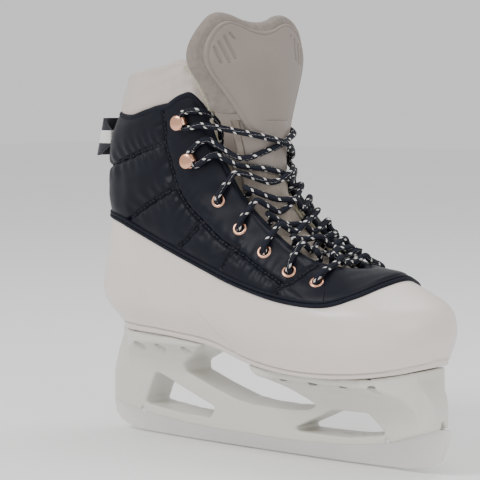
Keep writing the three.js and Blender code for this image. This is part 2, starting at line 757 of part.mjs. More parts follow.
function cuffPrism(outline) {
  const right = outline.map(([y, z]) => new THREE.Vector2(y, z));
  const left = outline.slice(1, -1).reverse().map(([y, z]) => new THREE.Vector2(-y, z));
  const shape = new THREE.Shape([...right, ...left]);
  const geometry = new THREE.ExtrudeGeometry(shape, { depth: 120, bevelEnabled: false });
  geometry.applyMatrix4(new THREE.Matrix4().makeBasis(v3(0, 1, 0), v3(0, 0, 1), v3(1, 0, 0)));
  geometry.translate(-80, 0, 0);
  return toSolid(geometry);
}

const shieldOutline = CUFF_OUTLINE.map(([y, z], i) => {
  const last = CUFF_OUTLINE.length - 1;
  const before = CUFF_OUTLINE[Math.max(0, i - 1)];
  const after = CUFF_OUTLINE[Math.min(last, i + 1)];
  const along = new THREE.Vector2(after[0] - before[0], after[1] - before[1]).normalize();
  const inset = i === 0 || i === last ? 0 : 1;
  const dz = i === 0 ? SHIELD_INSET / 3 : along.x * SHIELD_INSET;
  return [y - along.y * SHIELD_INSET * inset, z + (i === last ? -SHIELD_INSET : dz)];
});
addMesh("tongue_pad", cuffSheet(-1.8, -9).intersect(cuffPrism(CUFF_OUTLINE)), "felt");
addMesh("tongue_shield", cuffSheet(0, -1.4).intersect(cuffPrism(shieldOutline)), "greige");

// ---------------------------------------------------------------- eyelets and hooks
const eyeletProfile = [
  [EYELET_BORE, -2.6], [EYELET_BORE + 0.6, -2.6], [EYELET_BORE + 0.6, EYELET_SEAT],
  [EYELET_RADIUS, EYELET_SEAT], [EYELET_RADIUS - 0.8, EYELET_SEAT + 1],
  [EYELET_BORE, EYELET_SEAT + 1], [EYELET_BORE, -2.6],
];
const HOOK_GAP = 4.6; // between the hook's base and its round top
const HOOK_METAL = 1;

// A speed hook: a riveted base, a bend on the tongue's side and a round top over the lace.
function hookSolid() {
  const low = GAP + 0.5;
  const top = low + HOOK_METAL + HOOK_GAP;
  const outline = [
    [-4, low], [4.6, low], [5.4, low + 1.6], [5.4, top - 0.6], [4.2, top + HOOK_METAL],
    [-1, top + HOOK_METAL], [-1, top], [3.8, top], [4.4, top - 1], [4.4, low + 1.8],
    [3.8, low + HOOK_METAL], [-4, low + HOOK_METAL],
  ];
  const shape = new THREE.Shape(outline.map(([a, n]) => new THREE.Vector2(a, n)));
  const strap = new THREE.ExtrudeGeometry(shape, { depth: 5, bevelEnabled: false });
  strap.translate(0, 0, -2.5);
  strap.applyMatrix4(new THREE.Matrix4().makeBasis(v3(1, 0, 0), v3(0, 0, 1), v3(0, -1, 0)));
  const base = cylinder(4.6, v3(-0.6, 0, low), v3(-0.6, 0, low + HOOK_METAL), 10);
  const round = cylinder(4.9, v3(-0.2, 0, top), v3(-0.2, 0, top + HOOK_METAL), 12);
  return toSolid(toGeometry(toSolid(strap).add(base).add(round)));
}

function placed(solid, { p, inward, up, out }) {
  const geometry = toGeometry(solid);
  const side = out.clone().cross(inward); // keeps the frame right-handed on both sides
  geometry.applyMatrix4(new THREE.Matrix4().makeBasis(inward, side, out).setPosition(p));
  return geometry;
}

const hook = hookSolid();
for (const [side, spots] of [["left", spotsLeft], ["right", spotsRight]]) {
  spots.forEach((spot, i) => {
    if (i < EYELETS.length) {
      addMesh(`eyelet_${side}_${i + 1}`, turned(eyeletProfile, spot.p, spot.out, 10), "rose_gold");
    } else {
      addMesh(`hook_${side}_${i - EYELETS.length + 1}`, placed(hook, spot), "rose_gold");
    }
  });
}

// ---------------------------------------------------------------- lace
// Steps of the lace at an eyelet and at a hook, in millimetres towards the tongue, along the
// edge and outward, from the spot itself (0) or from the lacing edge beside it (1).
const UNDER_FACING = [
  [1, 6.2, -5, 3], [1, 6.8, -5.5, -3], [1, 2.7, -5, -8.6], [0, 4, -2.2, -8.2],
];
const THROUGH_EYELET = [[0, 0.7, -0.4, -6], [0, 0, 0, 1.4], [0, 2.4, 1.3, 4.8]];
const OVER_EDGE = [[1, 0.5, 5.6, 4.3], [1, 6.2, 6.4, 4]];
const LOWEST_EYELET = [
  [1, 5.2, -1.5, 3.6], [1, 0, -1.5, 4], [0, 2.6, -0.5, 4.8], [0, 0, 0, 1.4],
  [0, 0.7, 0.4, -6], [0, 4, 2.2, -8.2], [1, 2.5, 5, -8.4], [1, 7, 5.5, -3.2], [1, 7.6, 5, 4.2],
];
const ROUND_HOOK = [
  [1, 2, -5.8, 6.6], [0, 7, -5.6, 4], [0, 2.6, -4.4, 4], [0, 1.2, 0, 4], [0, 2.6, 4.4, 4],
  [0, 7, 5.6, 4], [1, 2, 5.8, 6.6],
];
const TUCKED_END = [
  [1, 4, 4, 4.6], [1, 7.5, 1, -1], [1, 7, -6, -9], [1, 1, -15, -14], [0, 9, -27, -16],
];
const CROSSINGS = [0.2, 0.31, 0.43, 0.56, 0.7, 0.85]; // places along the tongue's middle
const BESIDE = [6, 9.5, 11]; // how far from the middle the strands rest, from the lowest up
const SHOULDER = 25; // and where it comes over the tongue's border at the hooks
const REST = 3.8; // the lace's middle above the tongue where it rests on it
const CROSSED = 7.6; // and where it crosses another strand
const LOWEST_CROSSING = 0.12;

function strand(k, from, over) {
  const u = CROSSINGS[k];
  const slope = 0.03;
  const rests = BESIDE[Math.min(k, BESIDE.length - 1)];
  const beside = over ? REST + 2.2 : REST;
  const points = [
    tonguePoint(u - slope, from * rests, beside),
    tonguePoint(u, 0, over ? CROSSED : REST),
    tonguePoint(u + slope, -from * rests, beside),
  ];
  if (k < EYELETS.length - 1) return points;
  const after = tonguePoint(u + 2 * slope, -from * SHOULDER, beside + 3);
  if (k < EYELETS.length) return [...points, after];
  const before = tonguePoint(u - 2 * slope, from * SHOULDER, beside + 3);
  return [before, ...points, after];
}

// One half of the lace, from the eyelet nearest the toe on one side up to a top hook.
function laceHalf(startSide, over) {
  const points = [];
  const visit = (spot, route) => {
    for (const [fromEdge, towards, along, outward] of route) {
      const [edge, depth] = fromEdge ? spot.edgeAt(along) : [0, 0];
      points.push(local(spot, edge + towards, along, depth + outward));
    }
  };
  const top = spotsRight.length - 1;
  let side = startSide;
  for (let k = 0; k < top; k++) {
    const spot = (side > 0 ? spotsLeft : spotsRight)[k];
    if (k === 0) visit(spot, LOWEST_EYELET);
    else if (k < EYELETS.length) visit(spot, [...UNDER_FACING, ...THROUGH_EYELET, ...OVER_EDGE]);
    else visit(spot, ROUND_HOOK);
    points.push(...strand(k, side, over));
    side = -side;
  }
  const last = (side > 0 ? spotsLeft : spotsRight)[top];
  visit(last, [...ROUND_HOOK.slice(0, -1), ...TUCKED_END]);
  return points;
}

const lowestRun = [-5, 0, 5].map((y) => tonguePoint(LOWEST_CROSSING, y, REST + 0.6));
const laceRoute = [...laceHalf(-1, true).reverse(), ...lowestRun, ...laceHalf(1, false)];
addMesh("lace", tubeAlong(laceRoute, LACE_RADIUS), "lace");

// ---------------------------------------------------------------- pull loop
const LOOP_REACH = 17;
const LOOP_HALF_WIDTH = 12;
const LOOP_HALF_HEIGHT = 13;
const LOOP_CENTRE = [-130.6, 205];

function loopGrid(inset) {
  const turns = steps(Math.PI, 0, 14);
  return steps(-1, 1, 2).map((h) =>
    turns.map((a) => {
      const reach = Math.sin(a) ** 0.6;
      const height = h * (4 + (LOOP_HALF_HEIGHT - 4) * Math.min(1, reach * 1.4));
      const x = LOOP_CENTRE[0] - (LOOP_REACH - inset) * reach + 0.3 * height * reach;
      return v3(x, (LOOP_HALF_WIDTH - inset) * Math.cos(a), LOOP_CENTRE[1] + height);
    }),
  );
}

addMesh("pull_loop", wallSolid(loopGrid(0), loopGrid(1.8), false), "binding");

export default skate;
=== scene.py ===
# %% [markdown]
# # An ice skate
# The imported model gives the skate's real sizes and its moving bodies. Blender adds what a
# solid can't show: quilted nylon, piping, braided laces and moulded plastic.
# Lengths in this file are written in millimetres and turned into metres when a mesh is made.

# %% Load the fixed frame
import math

import bmesh
import bpy
import numpy as np
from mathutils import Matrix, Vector


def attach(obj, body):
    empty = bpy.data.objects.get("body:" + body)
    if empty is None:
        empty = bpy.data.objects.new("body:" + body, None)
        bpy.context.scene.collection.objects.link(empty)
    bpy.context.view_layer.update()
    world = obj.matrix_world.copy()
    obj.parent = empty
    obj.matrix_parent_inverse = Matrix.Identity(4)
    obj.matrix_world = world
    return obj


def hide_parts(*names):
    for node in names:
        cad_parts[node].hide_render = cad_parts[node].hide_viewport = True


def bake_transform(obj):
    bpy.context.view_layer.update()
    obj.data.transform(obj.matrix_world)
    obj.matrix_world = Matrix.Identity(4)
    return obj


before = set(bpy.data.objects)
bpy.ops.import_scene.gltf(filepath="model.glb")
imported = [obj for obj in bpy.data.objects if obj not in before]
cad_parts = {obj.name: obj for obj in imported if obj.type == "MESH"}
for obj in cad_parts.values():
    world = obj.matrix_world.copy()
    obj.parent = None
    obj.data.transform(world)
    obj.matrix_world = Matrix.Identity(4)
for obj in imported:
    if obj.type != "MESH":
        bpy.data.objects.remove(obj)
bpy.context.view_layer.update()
MM = 0.001
CENTRE_X = 4.85  # the boot's nets are drawn this far behind the frame's origin
SCENE = bpy.context.scene

# %% [markdown]
# The camera comes first. It looks at the skate from the front right, slightly above the
# ankle, through a long lens, so that the runner's far end hardly shrinks.

# %% The camera
eye = Vector((773.5 + CENTRE_X, -964.9, 233.1)) * MM
aim = Vector((-24.66 + CENTRE_X, 0, 137.74)) * MM
camera_data = bpy.data.cameras.new("camera")
camera_data.lens = 141.6
camera_data.sensor_width = 36
camera = bpy.data.objects.new("camera", camera_data)
camera.location = eye
camera.rotation_mode = "QUATERNION"
camera.rotation_quaternion = (aim - eye).to_track_quat("-Z", "Y")
SCENE.collection.objects.link(camera)
SCENE.camera = camera
print("camera", round((aim - eye).length, 3), "m away")

# %% [markdown]
# A pale floor and a pale sky stand for a studio table. Large soft lamps from the
# front, the side and above leave only a faint shadow.

# %% Floor and lights
def plain_material(name, colour, roughness):
    material = bpy.data.materials.new(name)
    material.use_nodes = True
    shader = material.node_tree.nodes["Principled BSDF"]
    shader.inputs["Base Color"].default_value = (*colour, 1)
    shader.inputs["Roughness"].default_value = roughness
    return material


floor_mesh = bpy.data.meshes.new("floor")
REACH = 6
floor_mesh.from_pydata(
    [(-REACH, -REACH, -0.0005), (REACH, -REACH, -0.0005), (REACH, REACH, -0.0005),
     (-REACH, REACH, -0.0005)], [], [(0, 1, 2, 3)])
floor = bpy.data.objects.new("floor", floor_mesh)
floor_mesh.materials.append(plain_material("pale_floor", (0.93, 0.93, 0.93), 0.7))
SCENE.collection.objects.link(floor)

world = bpy.data.worlds.new("studio")
SCENE.world = world
world.use_nodes = True
world.node_tree.nodes["Background"].inputs["Color"].default_value = (1, 1, 1, 1)
world.node_tree.nodes["Background"].inputs["Strength"].default_value = 0.85


def soft_lamp(name, place, size, power):
    lamp = bpy.data.lights.new(name, "AREA")
    lamp.shape = "DISK"
    lamp.size = size
    lamp.energy = power
    thing = bpy.data.objects.new(name, lamp)
    thing.location = place
    thing.rotation_mode = "QUATERNION"
    thing.rotation_quaternion = (Vector((0, 0, 0.12)) - thing.location).to_track_quat("-Z", "Y")
    SCENE.collection.objects.link(thing)


soft_lamp("key", (-0.5, -1.3, 1.5), 0.8, 20)
soft_lamp("fill", (1.6, -0.5, 0.7), 1.0, 7)
soft_lamp("top", (0.3, 0.5, 1.8), 1.0, 10)

# %% [markdown]
# ## The boot's surface
# The boot is a loop of twenty stations round the foot, drawn at eight heights. A Catmull-Rom
# spline runs through them both ways, so `boot_point(s, t)` gives a smooth surface: s counts
# stations from the heel round to the toe (10) and back, and t counts the rows upwards.

# %% The nets of the boot
SOLE_EDGE = [
    [-121, 0, 80], [-113, 20, 80], [-92, 31, 79.5], [-60, 32, 77.5], [-23, 33, 74],
    [12, 37, 65.5], [50, 43, 62], [84, 42, 62.5], [112, 34, 65.5], [131, 17, 70], [137, 0, 73]]
BULGE = [
    [-134, 0, 99], [-123, 27, 98], [-95, 39, 96], [-60, 39.5, 94], [-23, 41, 90],
    [12, 45, 83], [50, 49.5, 80], [86, 48, 80], [117, 39, 83], [134, 20, 87], [139.5, 0, 89]]
WAIST = [
    [-133, 0, 122], [-123, 25, 121], [-95, 39, 119], [-58, 40, 115], [-21, 43, 109],
    [14, 47, 100], [50, 50, 95], [84, 48, 96], [112, 38, 100], [128, 20, 103], [134, 0, 105]]
TRIM_LINE = [
    [-127, 0, 154], [-115, 27, 152.5], [-92, 40, 148.5], [-54, 43, 135], [-20, 45, 123.5],
    [10, 46.5, 114], [45, 47, 106.5], [76, 44.5, 104.5], [94, 35, 110], [103, 17, 116.5],
    [107, 0, 119.5]]
ANKLE = [
    [-127.5, 0, 172], [-115, 27, 171], [-90, 38.5, 168], [-50, 41.5, 158], [-14, 42, 146],
    [15, 42, 130], [46, 41, 116.5], [71, 36, 113.5], [87, 26, 117.5], [97.5, 13, 121],
    [101, 0, 122.5]]
INSTEP = [
    [-128.5, 0, 196], [-117, 25, 196], [-92, 36.5, 195], [-57, 39, 192], [-29, 37, 180],
    [1, 34, 158], [35.5, 32, 134], [60, 29, 122.5], [78, 20.5, 121.5], [88, 10, 123],
    [91, 0, 124]]
LACING_EDGE = [
    [-121, 0, 221.5], [-112, 22, 221.5], [-92, 34, 222.5], [-66, 38, 230.5], [-39, 36.5, 229],
    [-23.5, 31.5, 202], [2, 28.5, 166.5], [32, 25.5, 140.5], [53.5, 22, 129], [71, 12.5, 125],
    [78, 0, 124]]
COLLAR_TOP = [
    [-117, 0, 246], [-108, 22, 246], [-88, 34, 248], [-64, 38, 250.5], [-41, 36.5, 252],
    [-18, 30, 216], [8, 25.5, 171], [37, 22.5, 145.5], [56, 19, 133], [69, 10.5, 128],
    [74, 0, 127]]
STATIONS = 20
TOE = 10
TRIM_LEVEL = 3


def whole_loop(half):
    half = np.array(half, float)
    return np.vstack([half, half[1:-1][::-1] * [1, -1, 1]])


NET = np.array([whole_loop(row) for row in (
    SOLE_EDGE, BULGE, WAIST, TRIM_LINE, ANKLE, INSTEP, LACING_EDGE, COLLAR_TOP)])
print("net of", NET.shape[0], "rows and", NET.shape[1], "stations")


# %% Points and directions on the boot
def spline(a, b, c, d, t):
    return 0.5 * (2 * b + (c - a) * t + (2 * a - 5 * b + 4 * c - d) * t ** 2
                  + (3 * b - a - 3 * c + d) * t ** 3)


def around(row, s):
    whole = np.floor(s).astype(int)
    corners = [NET[row, (whole + k) % STATIONS] for k in (-1, 0, 1, 2)]
    return spline(*corners, (s - whole)[..., None])


def boot_point(s, t):
    s, t = np.broadcast_arrays(np.asarray(s, float), np.asarray(t, float))
    last = len(NET) - 1
    row = np.clip(np.floor(t).astype(int), 0, last - 1)
    b = around(row, s)
    c = around(row + 1, s)
    a = np.where((row > 0)[..., None], around(np.maximum(row - 1, 0), s), 2 * b - c)
    d = np.where((row + 2 <= last)[..., None], around(np.minimum(row + 2, last), s), 2 * c - b)
    return spline(a, b, c, d, (t - row)[..., None])


def unit(v):
    return v / np.maximum(np.linalg.norm(v, axis=-1, keepdims=True), 1e-12)


def boot_normal(s, t):
    small = 0.02
    s, t = np.asarray(s, float), np.asarray(t, float)
    up = boot_point(s, t + small) - boot_point(s, t - small)
    along = boot_point(s + small, t) - boot_point(s - small, t)
    return unit(np.cross(up, along))


def boot_offset(s, t, out):
    return boot_point(s, t) + boot_normal(s, t) * np.asarray(out, float)[..., None]


def height_at(profile, x):
    """Height along a drawn profile of [x, z] points."""
    profile = np.array(profile, float)
    last = len(profile) - 1
    x = np.clip(x, profile[0, 0], profile[last, 0] - 1e-6)
    i = np.searchsorted(profile[:, 0], x, side="right") - 1
    t = (x - profile[i, 0]) / (profile[i + 1, 0] - profile[i, 0])
    at = [profile[np.clip(i + k, 0, last), 1] for k in (-1, 0, 1, 2)]
    return spline(*at, t)


print("instep point", boot_point(5, 5).round(1))

# %% [markdown]
# Every piece is a mesh in metres whose object stays at the origin. These helpers turn
# grids of millimetre points into closed meshes with a UV map, where u and v are
# millimetres along the surface, so that a weave has one size everywhere.

# %% Meshes from grids of points
def new_piece(name, points, faces, materials, uv=None):
    """A mesh object at the origin, from points in millimetres."""
    placed = (np.asarray(points, float) + [CENTRE_X, 0, 0]) * MM
    mesh = bpy.data.meshes.new(name)
    mesh.from_pydata(placed.tolist(), [], [tuple(map(int, f)) for f in faces])
    mesh.validate()
    if uv is not None:
        layer = mesh.uv_layers.new(name="surface")
        corner = np.zeros(len(mesh.loops), int)
        mesh.loops.foreach_get("vertex_index", corner)
        layer.data.foreach_set("uv", np.asarray(uv, float)[corner].ravel())
    mesh.polygons.foreach_set("use_smooth", [True] * len(mesh.polygons))
    thing = bpy.data.objects.new(name, mesh)
    for material in materials:
        mesh.materials.append(material)
    SCENE.collection.objects.link(thing)
    return thing


def grid_faces(rows, columns, closed, start=0, flip=False):
    """Quads of a grid whose points are numbered row by row."""
    across = columns if closed else columns - 1
    r, c = np.meshgrid(np.arange(rows - 1), np.arange(across), indexing="ij")
    n = (c + 1) % columns
    quads = np.stack([r * columns + c, r * columns + n, (r + 1) * columns + n,
                      (r + 1) * columns + c], -1).reshape(-1, 4) + start
    return quads[:, ::-1] if flip else quads


def recalculated(thing):
    """Turns every face of a closed mesh outwards."""
    work = bmesh.new()
    work.from_mesh(thing.data)
    bmesh.ops.remove_doubles(work, verts=work.verts, dist=1e-6)
    bmesh.ops.recalc_face_normals(work, faces=work.faces)
    work.to_mesh(thing.data)
    work.free()
    return thing


def measured_uv(grid):
    """Distances in millimetres along a grid's rows and columns, averaged."""
    along = np.linalg.norm(np.diff(grid, axis=1), axis=-1).mean(0)
    up = np.linalg.norm(np.diff(grid, axis=0), axis=-1).mean(1)
    u = np.concatenate([[0], np.cumsum(along)])
    v = np.concatenate([[0], np.cumsum(up)])
    return np.stack(np.meshgrid(u, v), -1).reshape(-1, 2)


def ring_piece(name, grid, material):
    """A band whose rows close on themselves: a loop of stations swept round a profile."""
    profile, columns = grid.shape[:2]
    closed = np.concatenate([grid, grid[:1]])
    faces = grid_faces(profile + 1, columns, True)
    faces = faces % (profile * columns)
    uv = measured_uv(closed)[: profile * columns]
    return recalculated(new_piece(name, grid.reshape(-1, 3), faces, [material], uv))


def strip_piece(name, grid, material, zipped=False):
    """A band whose rows close on themselves. Its ends get one cap each, or, zipped, a row
    of quads between the front rows and the same rows behind."""
    profile, columns = grid.shape[:2]
    faces = [tuple(f) for f in grid_faces(profile + 1, columns, False) % (profile * columns)]
    for end in (0, columns - 1):
        if zipped:
            faces += [tuple(r * columns + end for r in (i, i + 1, profile - 2 - i, profile - 1 - i))
                      for i in range(profile // 2 - 1)]
        else:
            faces.append(tuple(r * columns + end for r in range(profile)))
    uv = measured_uv(np.concatenate([grid, grid[:1]]))[: profile * columns]
    return recalculated(new_piece(name, grid.reshape(-1, 3), faces, [material], uv))


def catmull_path(points, step, closed=False):
    """Evenly spaced points, step millimetres apart, on a smooth line through given ones."""
    p = np.asarray(points, float)
    p = np.vstack([p[-1:], p, p[:2]]) if closed else np.vstack([p[:1], p, p[-1:]])
    fine = []
    t = np.linspace(0, 1, 17)[:-1, None]
    for a, b, c, d in zip(p[:-3], p[1:-2], p[2:-1], p[3:]):
        before, here, after = (np.sqrt(np.linalg.norm(w)) for w in (b - a, c - b, d - c))
        leave, arrive = c - b, c - b  # centripetal tangents never overshoot a tight turn
        if before > 0.01:
            leave = leave + here * ((b - a) / before - (c - a) / (before + here))
        if after > 0.01:
            arrive = arrive + here * ((d - c) / after - (d - b) / (here + after))
        fine.append((2 * t ** 3 - 3 * t ** 2 + 1) * b + (t ** 3 - 2 * t ** 2 + t) * leave
                    + (3 * t ** 2 - 2 * t ** 3) * c + (t ** 3 - t ** 2) * arrive)
    fine = np.vstack(fine + ([] if closed else [p[-1:]]))
    if closed:
        fine = np.vstack([fine, fine[:1]])
    reach = np.concatenate([[0], np.cumsum(np.linalg.norm(np.diff(fine, axis=0), axis=1))])
    count = max(2, int(round(reach[-1] / step)))
    at = np.linspace(0, reach[-1], count + 1)
    even = np.stack([np.interp(at, reach, fine[:, k]) for k in range(3)], -1)
    return even[:-1] if closed else even


def tube_piece(name, path, radius, material, sides=12, closed=False, squash=1.0, facing=None):
    """A tube round a path, with u along it and v round it in millimetres."""
    path = np.asarray(path, float)
    if closed:
        tangent = unit(np.roll(path, -1, 0) - np.roll(path, 1, 0))
    else:
        tangent = unit(np.gradient(path, axis=0))
    if facing is None:
        side = np.zeros_like(path)
        start = np.cross(tangent[0], [0, 0, 1])
        side[0] = unit(start if np.linalg.norm(start) > 0.1 else np.cross(tangent[0], [1, 0, 0]))
        for i in range(1, len(path)):
            kept = side[i - 1] - tangent[i] * (side[i - 1] @ tangent[i])
            side[i] = unit(kept)
    else:
        out = unit(facing - tangent * (facing * tangent).sum(-1, keepdims=True))
        side = np.cross(tangent, out)
    out = np.cross(side, tangent)
    turn = np.linspace(0, 2 * math.pi, sides, endpoint=False)
    radius = np.broadcast_to(np.asarray(radius, float), (len(path),))
    rings = [path + side * (radius * math.cos(a))[:, None]
             + out * (radius * squash * math.sin(a))[:, None] for a in turn]
    grid = np.stack(rings, 1)  # path, side, xyz
    count = len(path)
    faces = [tuple(f) for f in grid_faces(count, sides, True)]
    if closed:
        last = (count - 1) * sides
        faces += [(last + k, last + (k + 1) % sides, (k + 1) % sides, k) for k in range(sides)]
    else:
        faces.append(tuple(range(sides)))
        faces.append(tuple((count - 1) * sides + k for k in range(sides)))
    reach = np.concatenate([[0], np.cumsum(np.linalg.norm(np.diff(path, axis=0), axis=1))])
    u = np.repeat(reach, sides)
    v = np.tile(turn / (2 * math.pi), count)
    uv = np.stack([u, v], -1)
    return recalculated(new_piece(name, grid.reshape(-1, 3), faces, [material], uv))


# %% [markdown]
# ## Finishes
# Four shader groups are shared by the materials: a fine **grain** for moulded plastic and
# leatherette, a **weave** for cloth, a **mottle** that varies a colour a little over
# centimetres, and **wear** that dulls and marks a surface in thin scratches.

# %% Helpers for shader nodes
def group_of(name, inputs, outputs):
    tree = bpy.data.node_groups.new(name, "ShaderNodeTree")
    for label, kind, default in inputs:
        socket = tree.interface.new_socket(name=label, in_out="INPUT", socket_type=kind)
        if default is not None:
            socket.default_value = default
    for label, kind in outputs:
        tree.interface.new_socket(name=label, in_out="OUTPUT", socket_type=kind)
    start = tree.nodes.new("NodeGroupInput")
    end = tree.nodes.new("NodeGroupOutput")
    return tree, start, end


def math_node(tree, operation, first, second=None, clamp=False):
    node = tree.nodes.new("ShaderNodeMath")
    node.operation = operation
    node.use_clamp = clamp
    for socket, value in zip(node.inputs, (first, second)):
        if value is None:
            continue
        if hasattr(value, "is_output"):
            tree.links.new(value, socket)
        else:
            socket.default_value = value
    return node.outputs[0]


def noise_node(tree, vector, scale, detail=3.0, roughness=0.5):
    node = tree.nodes.new("ShaderNodeTexNoise")
    node.inputs["Detail"].default_value = detail
    node.inputs["Roughness"].default_value = roughness
    tree.links.new(vector, node.inputs["Vector"])
    if hasattr(scale, "is_output"):
        tree.links.new(scale, node.inputs["Scale"])
    else:
        node.inputs["Scale"].default_value = scale
    return node.outputs["Fac"]


def mixed_colour(tree, share, first, second):
    node = tree.nodes.new("ShaderNodeMix")
    node.data_type = "RGBA"
    for socket, value in ((node.inputs["Factor"], share), (node.inputs["A"], first),
                          (node.inputs["B"], second)):
        if hasattr(value, "is_output"):
            tree.links.new(value, socket)
        elif isinstance(value, (int, float)):
            socket.default_value = value
        else:
            socket.default_value = (*value, 1) if len(value) == 3 else value
    return next(o for o in node.outputs if o.type == "RGBA")


# %% The shared groups
VECTOR, FLOAT, COLOUR = "NodeSocketVector", "NodeSocketFloat", "NodeSocketColor"

GRAIN, g_in, g_out = group_of(
    "grain", [("Vector", VECTOR, None), ("Scale", FLOAT, 900.0)], [("Height", FLOAT)])
cells = GRAIN.nodes.new("ShaderNodeTexVoronoi")
cells.feature = "SMOOTH_F1"
GRAIN.links.new(g_in.outputs["Vector"], cells.inputs["Vector"])
GRAIN.links.new(g_in.outputs["Scale"], cells.inputs["Scale"])
GRAIN.links.new(
    math_node(GRAIN, "ADD", math_node(GRAIN, "MULTIPLY", cells.outputs["Distance"], 0.7),
              math_node(GRAIN, "MULTIPLY",
                        noise_node(GRAIN, g_in.outputs["Vector"], g_in.outputs["Scale"]), 0.5)),
    g_out.inputs["Height"])

WEAVE, w_in, w_out = group_of(
    "weave", [("Vector", VECTOR, None), ("Threads", FLOAT, 1.6)],
    [("Height", FLOAT), ("Thread", FLOAT)])
split = WEAVE.nodes.new("ShaderNodeSeparateXYZ")
WEAVE.links.new(w_in.outputs["Vector"], split.inputs[0])
turns = math_node(WEAVE, "MULTIPLY", w_in.outputs["Threads"], 2 * math.pi)
warp = math_node(WEAVE, "SINE", math_node(WEAVE, "MULTIPLY", split.outputs["X"], turns))
weft = math_node(WEAVE, "SINE", math_node(WEAVE, "MULTIPLY", split.outputs["Y"], turns))
crossing = math_node(WEAVE, "MULTIPLY", warp, weft)
WEAVE.links.new(math_node(WEAVE, "MULTIPLY_ADD", crossing, 0.5), w_out.inputs["Height"])
WEAVE.links.new(math_node(WEAVE, "ABSOLUTE", crossing), w_out.inputs["Thread"])

MOTTLE, m_in, m_out = group_of(
    "mottle", [("Vector", VECTOR, None), ("Scale", FLOAT, 30.0), ("Light", COLOUR, (1, 1, 1, 1)),
               ("Dark", COLOUR, (0, 0, 0, 1))], [("Color", COLOUR)])
cloud = noise_node(MOTTLE, m_in.outputs["Vector"], m_in.outputs["Scale"], 4.0, 0.6)
sharper = math_node(MOTTLE, "MULTIPLY_ADD", cloud, 1.8, True)
sharper.node.inputs[2].default_value = -0.4
MOTTLE.links.new(mixed_colour(MOTTLE, sharper, m_in.outputs["Dark"], m_in.outputs["Light"]),
                 m_out.inputs["Color"])

WEAR, x_in, x_out = group_of(
    "wear", [("Vector", VECTOR, None), ("Base", FLOAT, 0.4), ("Amount", FLOAT, 0.1)],
    [("Roughness", FLOAT), ("Mask", FLOAT)])
stretch = WEAR.nodes.new("ShaderNodeMapping")
stretch.inputs["Scale"].default_value = (1, 1, 9)
WEAR.links.new(x_in.outputs["Vector"], stretch.inputs["Vector"])
marks = noise_node(WEAR, stretch.outputs["Vector"], 45.0, 6.0, 0.7)
patch = noise_node(WEAR, x_in.outputs["Vector"], 14.0, 2.0)
mask = math_node(WEAR, "MULTIPLY", marks, patch)
WEAR.links.new(mask, x_out.inputs["Mask"])
WEAR.links.new(
    math_node(WEAR, "ADD", x_in.outputs["Base"],
              math_node(WEAR, "MULTIPLY", mask, x_in.outputs["Amount"])),
    x_out.inputs["Roughness"])
print("groups:", [g.name for g in (GRAIN, WEAVE, MOTTLE, WEAR)])


# %% [markdown]
# A finish is one Principled shader. Its colour comes from the mottle, its gloss from the
# wear, and a bump from the grain or the weave. Numbers that are the same all over the
# surface are set on the shader's own sockets.

# %% One function for every finish
def finish(name, light, dark, roughness, metallic=0.0, grain=None, weave=None, bump=0.1,
           mottle=30.0, wear=0.12, coat=0.0, sheen=0.0, specular=0.5):
    """grain is cells per metre, weave is threads per millimetre of the UV map."""
    material = bpy.data.materials.new(name)
    material.use_nodes = True
    tree = material.node_tree
    shader = tree.nodes["Principled BSDF"]
    shader.inputs["Metallic"].default_value = metallic
    shader.inputs["Coat Weight"].default_value = coat
    shader.inputs["Coat Roughness"].default_value = 0.2
    shader.inputs["Sheen Weight"].default_value = sheen
    shader.inputs["Sheen Roughness"].default_value = 0.4
    shader.inputs["Specular IOR Level"].default_value = specular
    place = tree.nodes.new("ShaderNodeTexCoord")

    def placed_group(group, source):
        node = tree.nodes.new("ShaderNodeGroup")
        node.node_tree = group
        tree.links.new(place.outputs[source], node.inputs["Vector"])
        return node

    colour = placed_group(MOTTLE, "Object")
    colour.inputs["Scale"].default_value = mottle
    colour.inputs["Light"].default_value = (*light, 1)
    colour.inputs["Dark"].default_value = (*dark, 1)
    tree.links.new(colour.outputs["Color"], shader.inputs["Base Color"])
    gloss = placed_group(WEAR, "Object")
    gloss.inputs["Base"].default_value = roughness
    gloss.inputs["Amount"].default_value = wear
    tree.links.new(gloss.outputs["Roughness"], shader.inputs["Roughness"])
    if grain or weave:
        texture = placed_group(WEAVE if weave else GRAIN, "UV" if weave else "Object")
        if weave:
            texture.inputs["Threads"].default_value = weave
        else:
            texture.inputs["Scale"].default_value = grain
        relief = tree.nodes.new("ShaderNodeBump")
        relief.inputs["Strength"].default_value = bump
        relief.inputs["Distance"].default_value = 0.0004
        tree.links.new(texture.outputs["Height"], relief.inputs["Height"])
        tree.links.new(relief.outputs["Normal"], shader.inputs["Normal"])
    return material


# %% The finishes of this skate
SHELL_PLASTIC = finish("shell_plastic", (0.74, 0.67, 0.63), (0.68, 0.61, 0.57), 0.34,
                       grain=1400.0, bump=0.05, mottle=8.0, coat=0.12)
HOLDER_PLASTIC = finish("holder_plastic", (0.68, 0.66, 0.605), (0.61, 0.595, 0.545), 0.34,
                        grain=1700.0, bump=0.04, mottle=9.0, coat=0.1)
SOLE_PLASTIC = finish("sole_plastic", (0.70, 0.64, 0.60), (0.64, 0.58, 0.545), 0.45,
                      grain=1500.0, bump=0.08, mottle=12.0)
RUNNER_STEEL = finish("runner_steel", (0.80, 0.77, 0.75), (0.72, 0.69, 0.675), 0.3,
                      metallic=0.75, grain=2600.0, bump=0.03, mottle=20.0, wear=0.3)
RIVET_STEEL = finish("rivet_steel", (0.30, 0.28, 0.27), (0.20, 0.19, 0.19), 0.4,
                     metallic=0.9, grain=2500.0, bump=0.1)
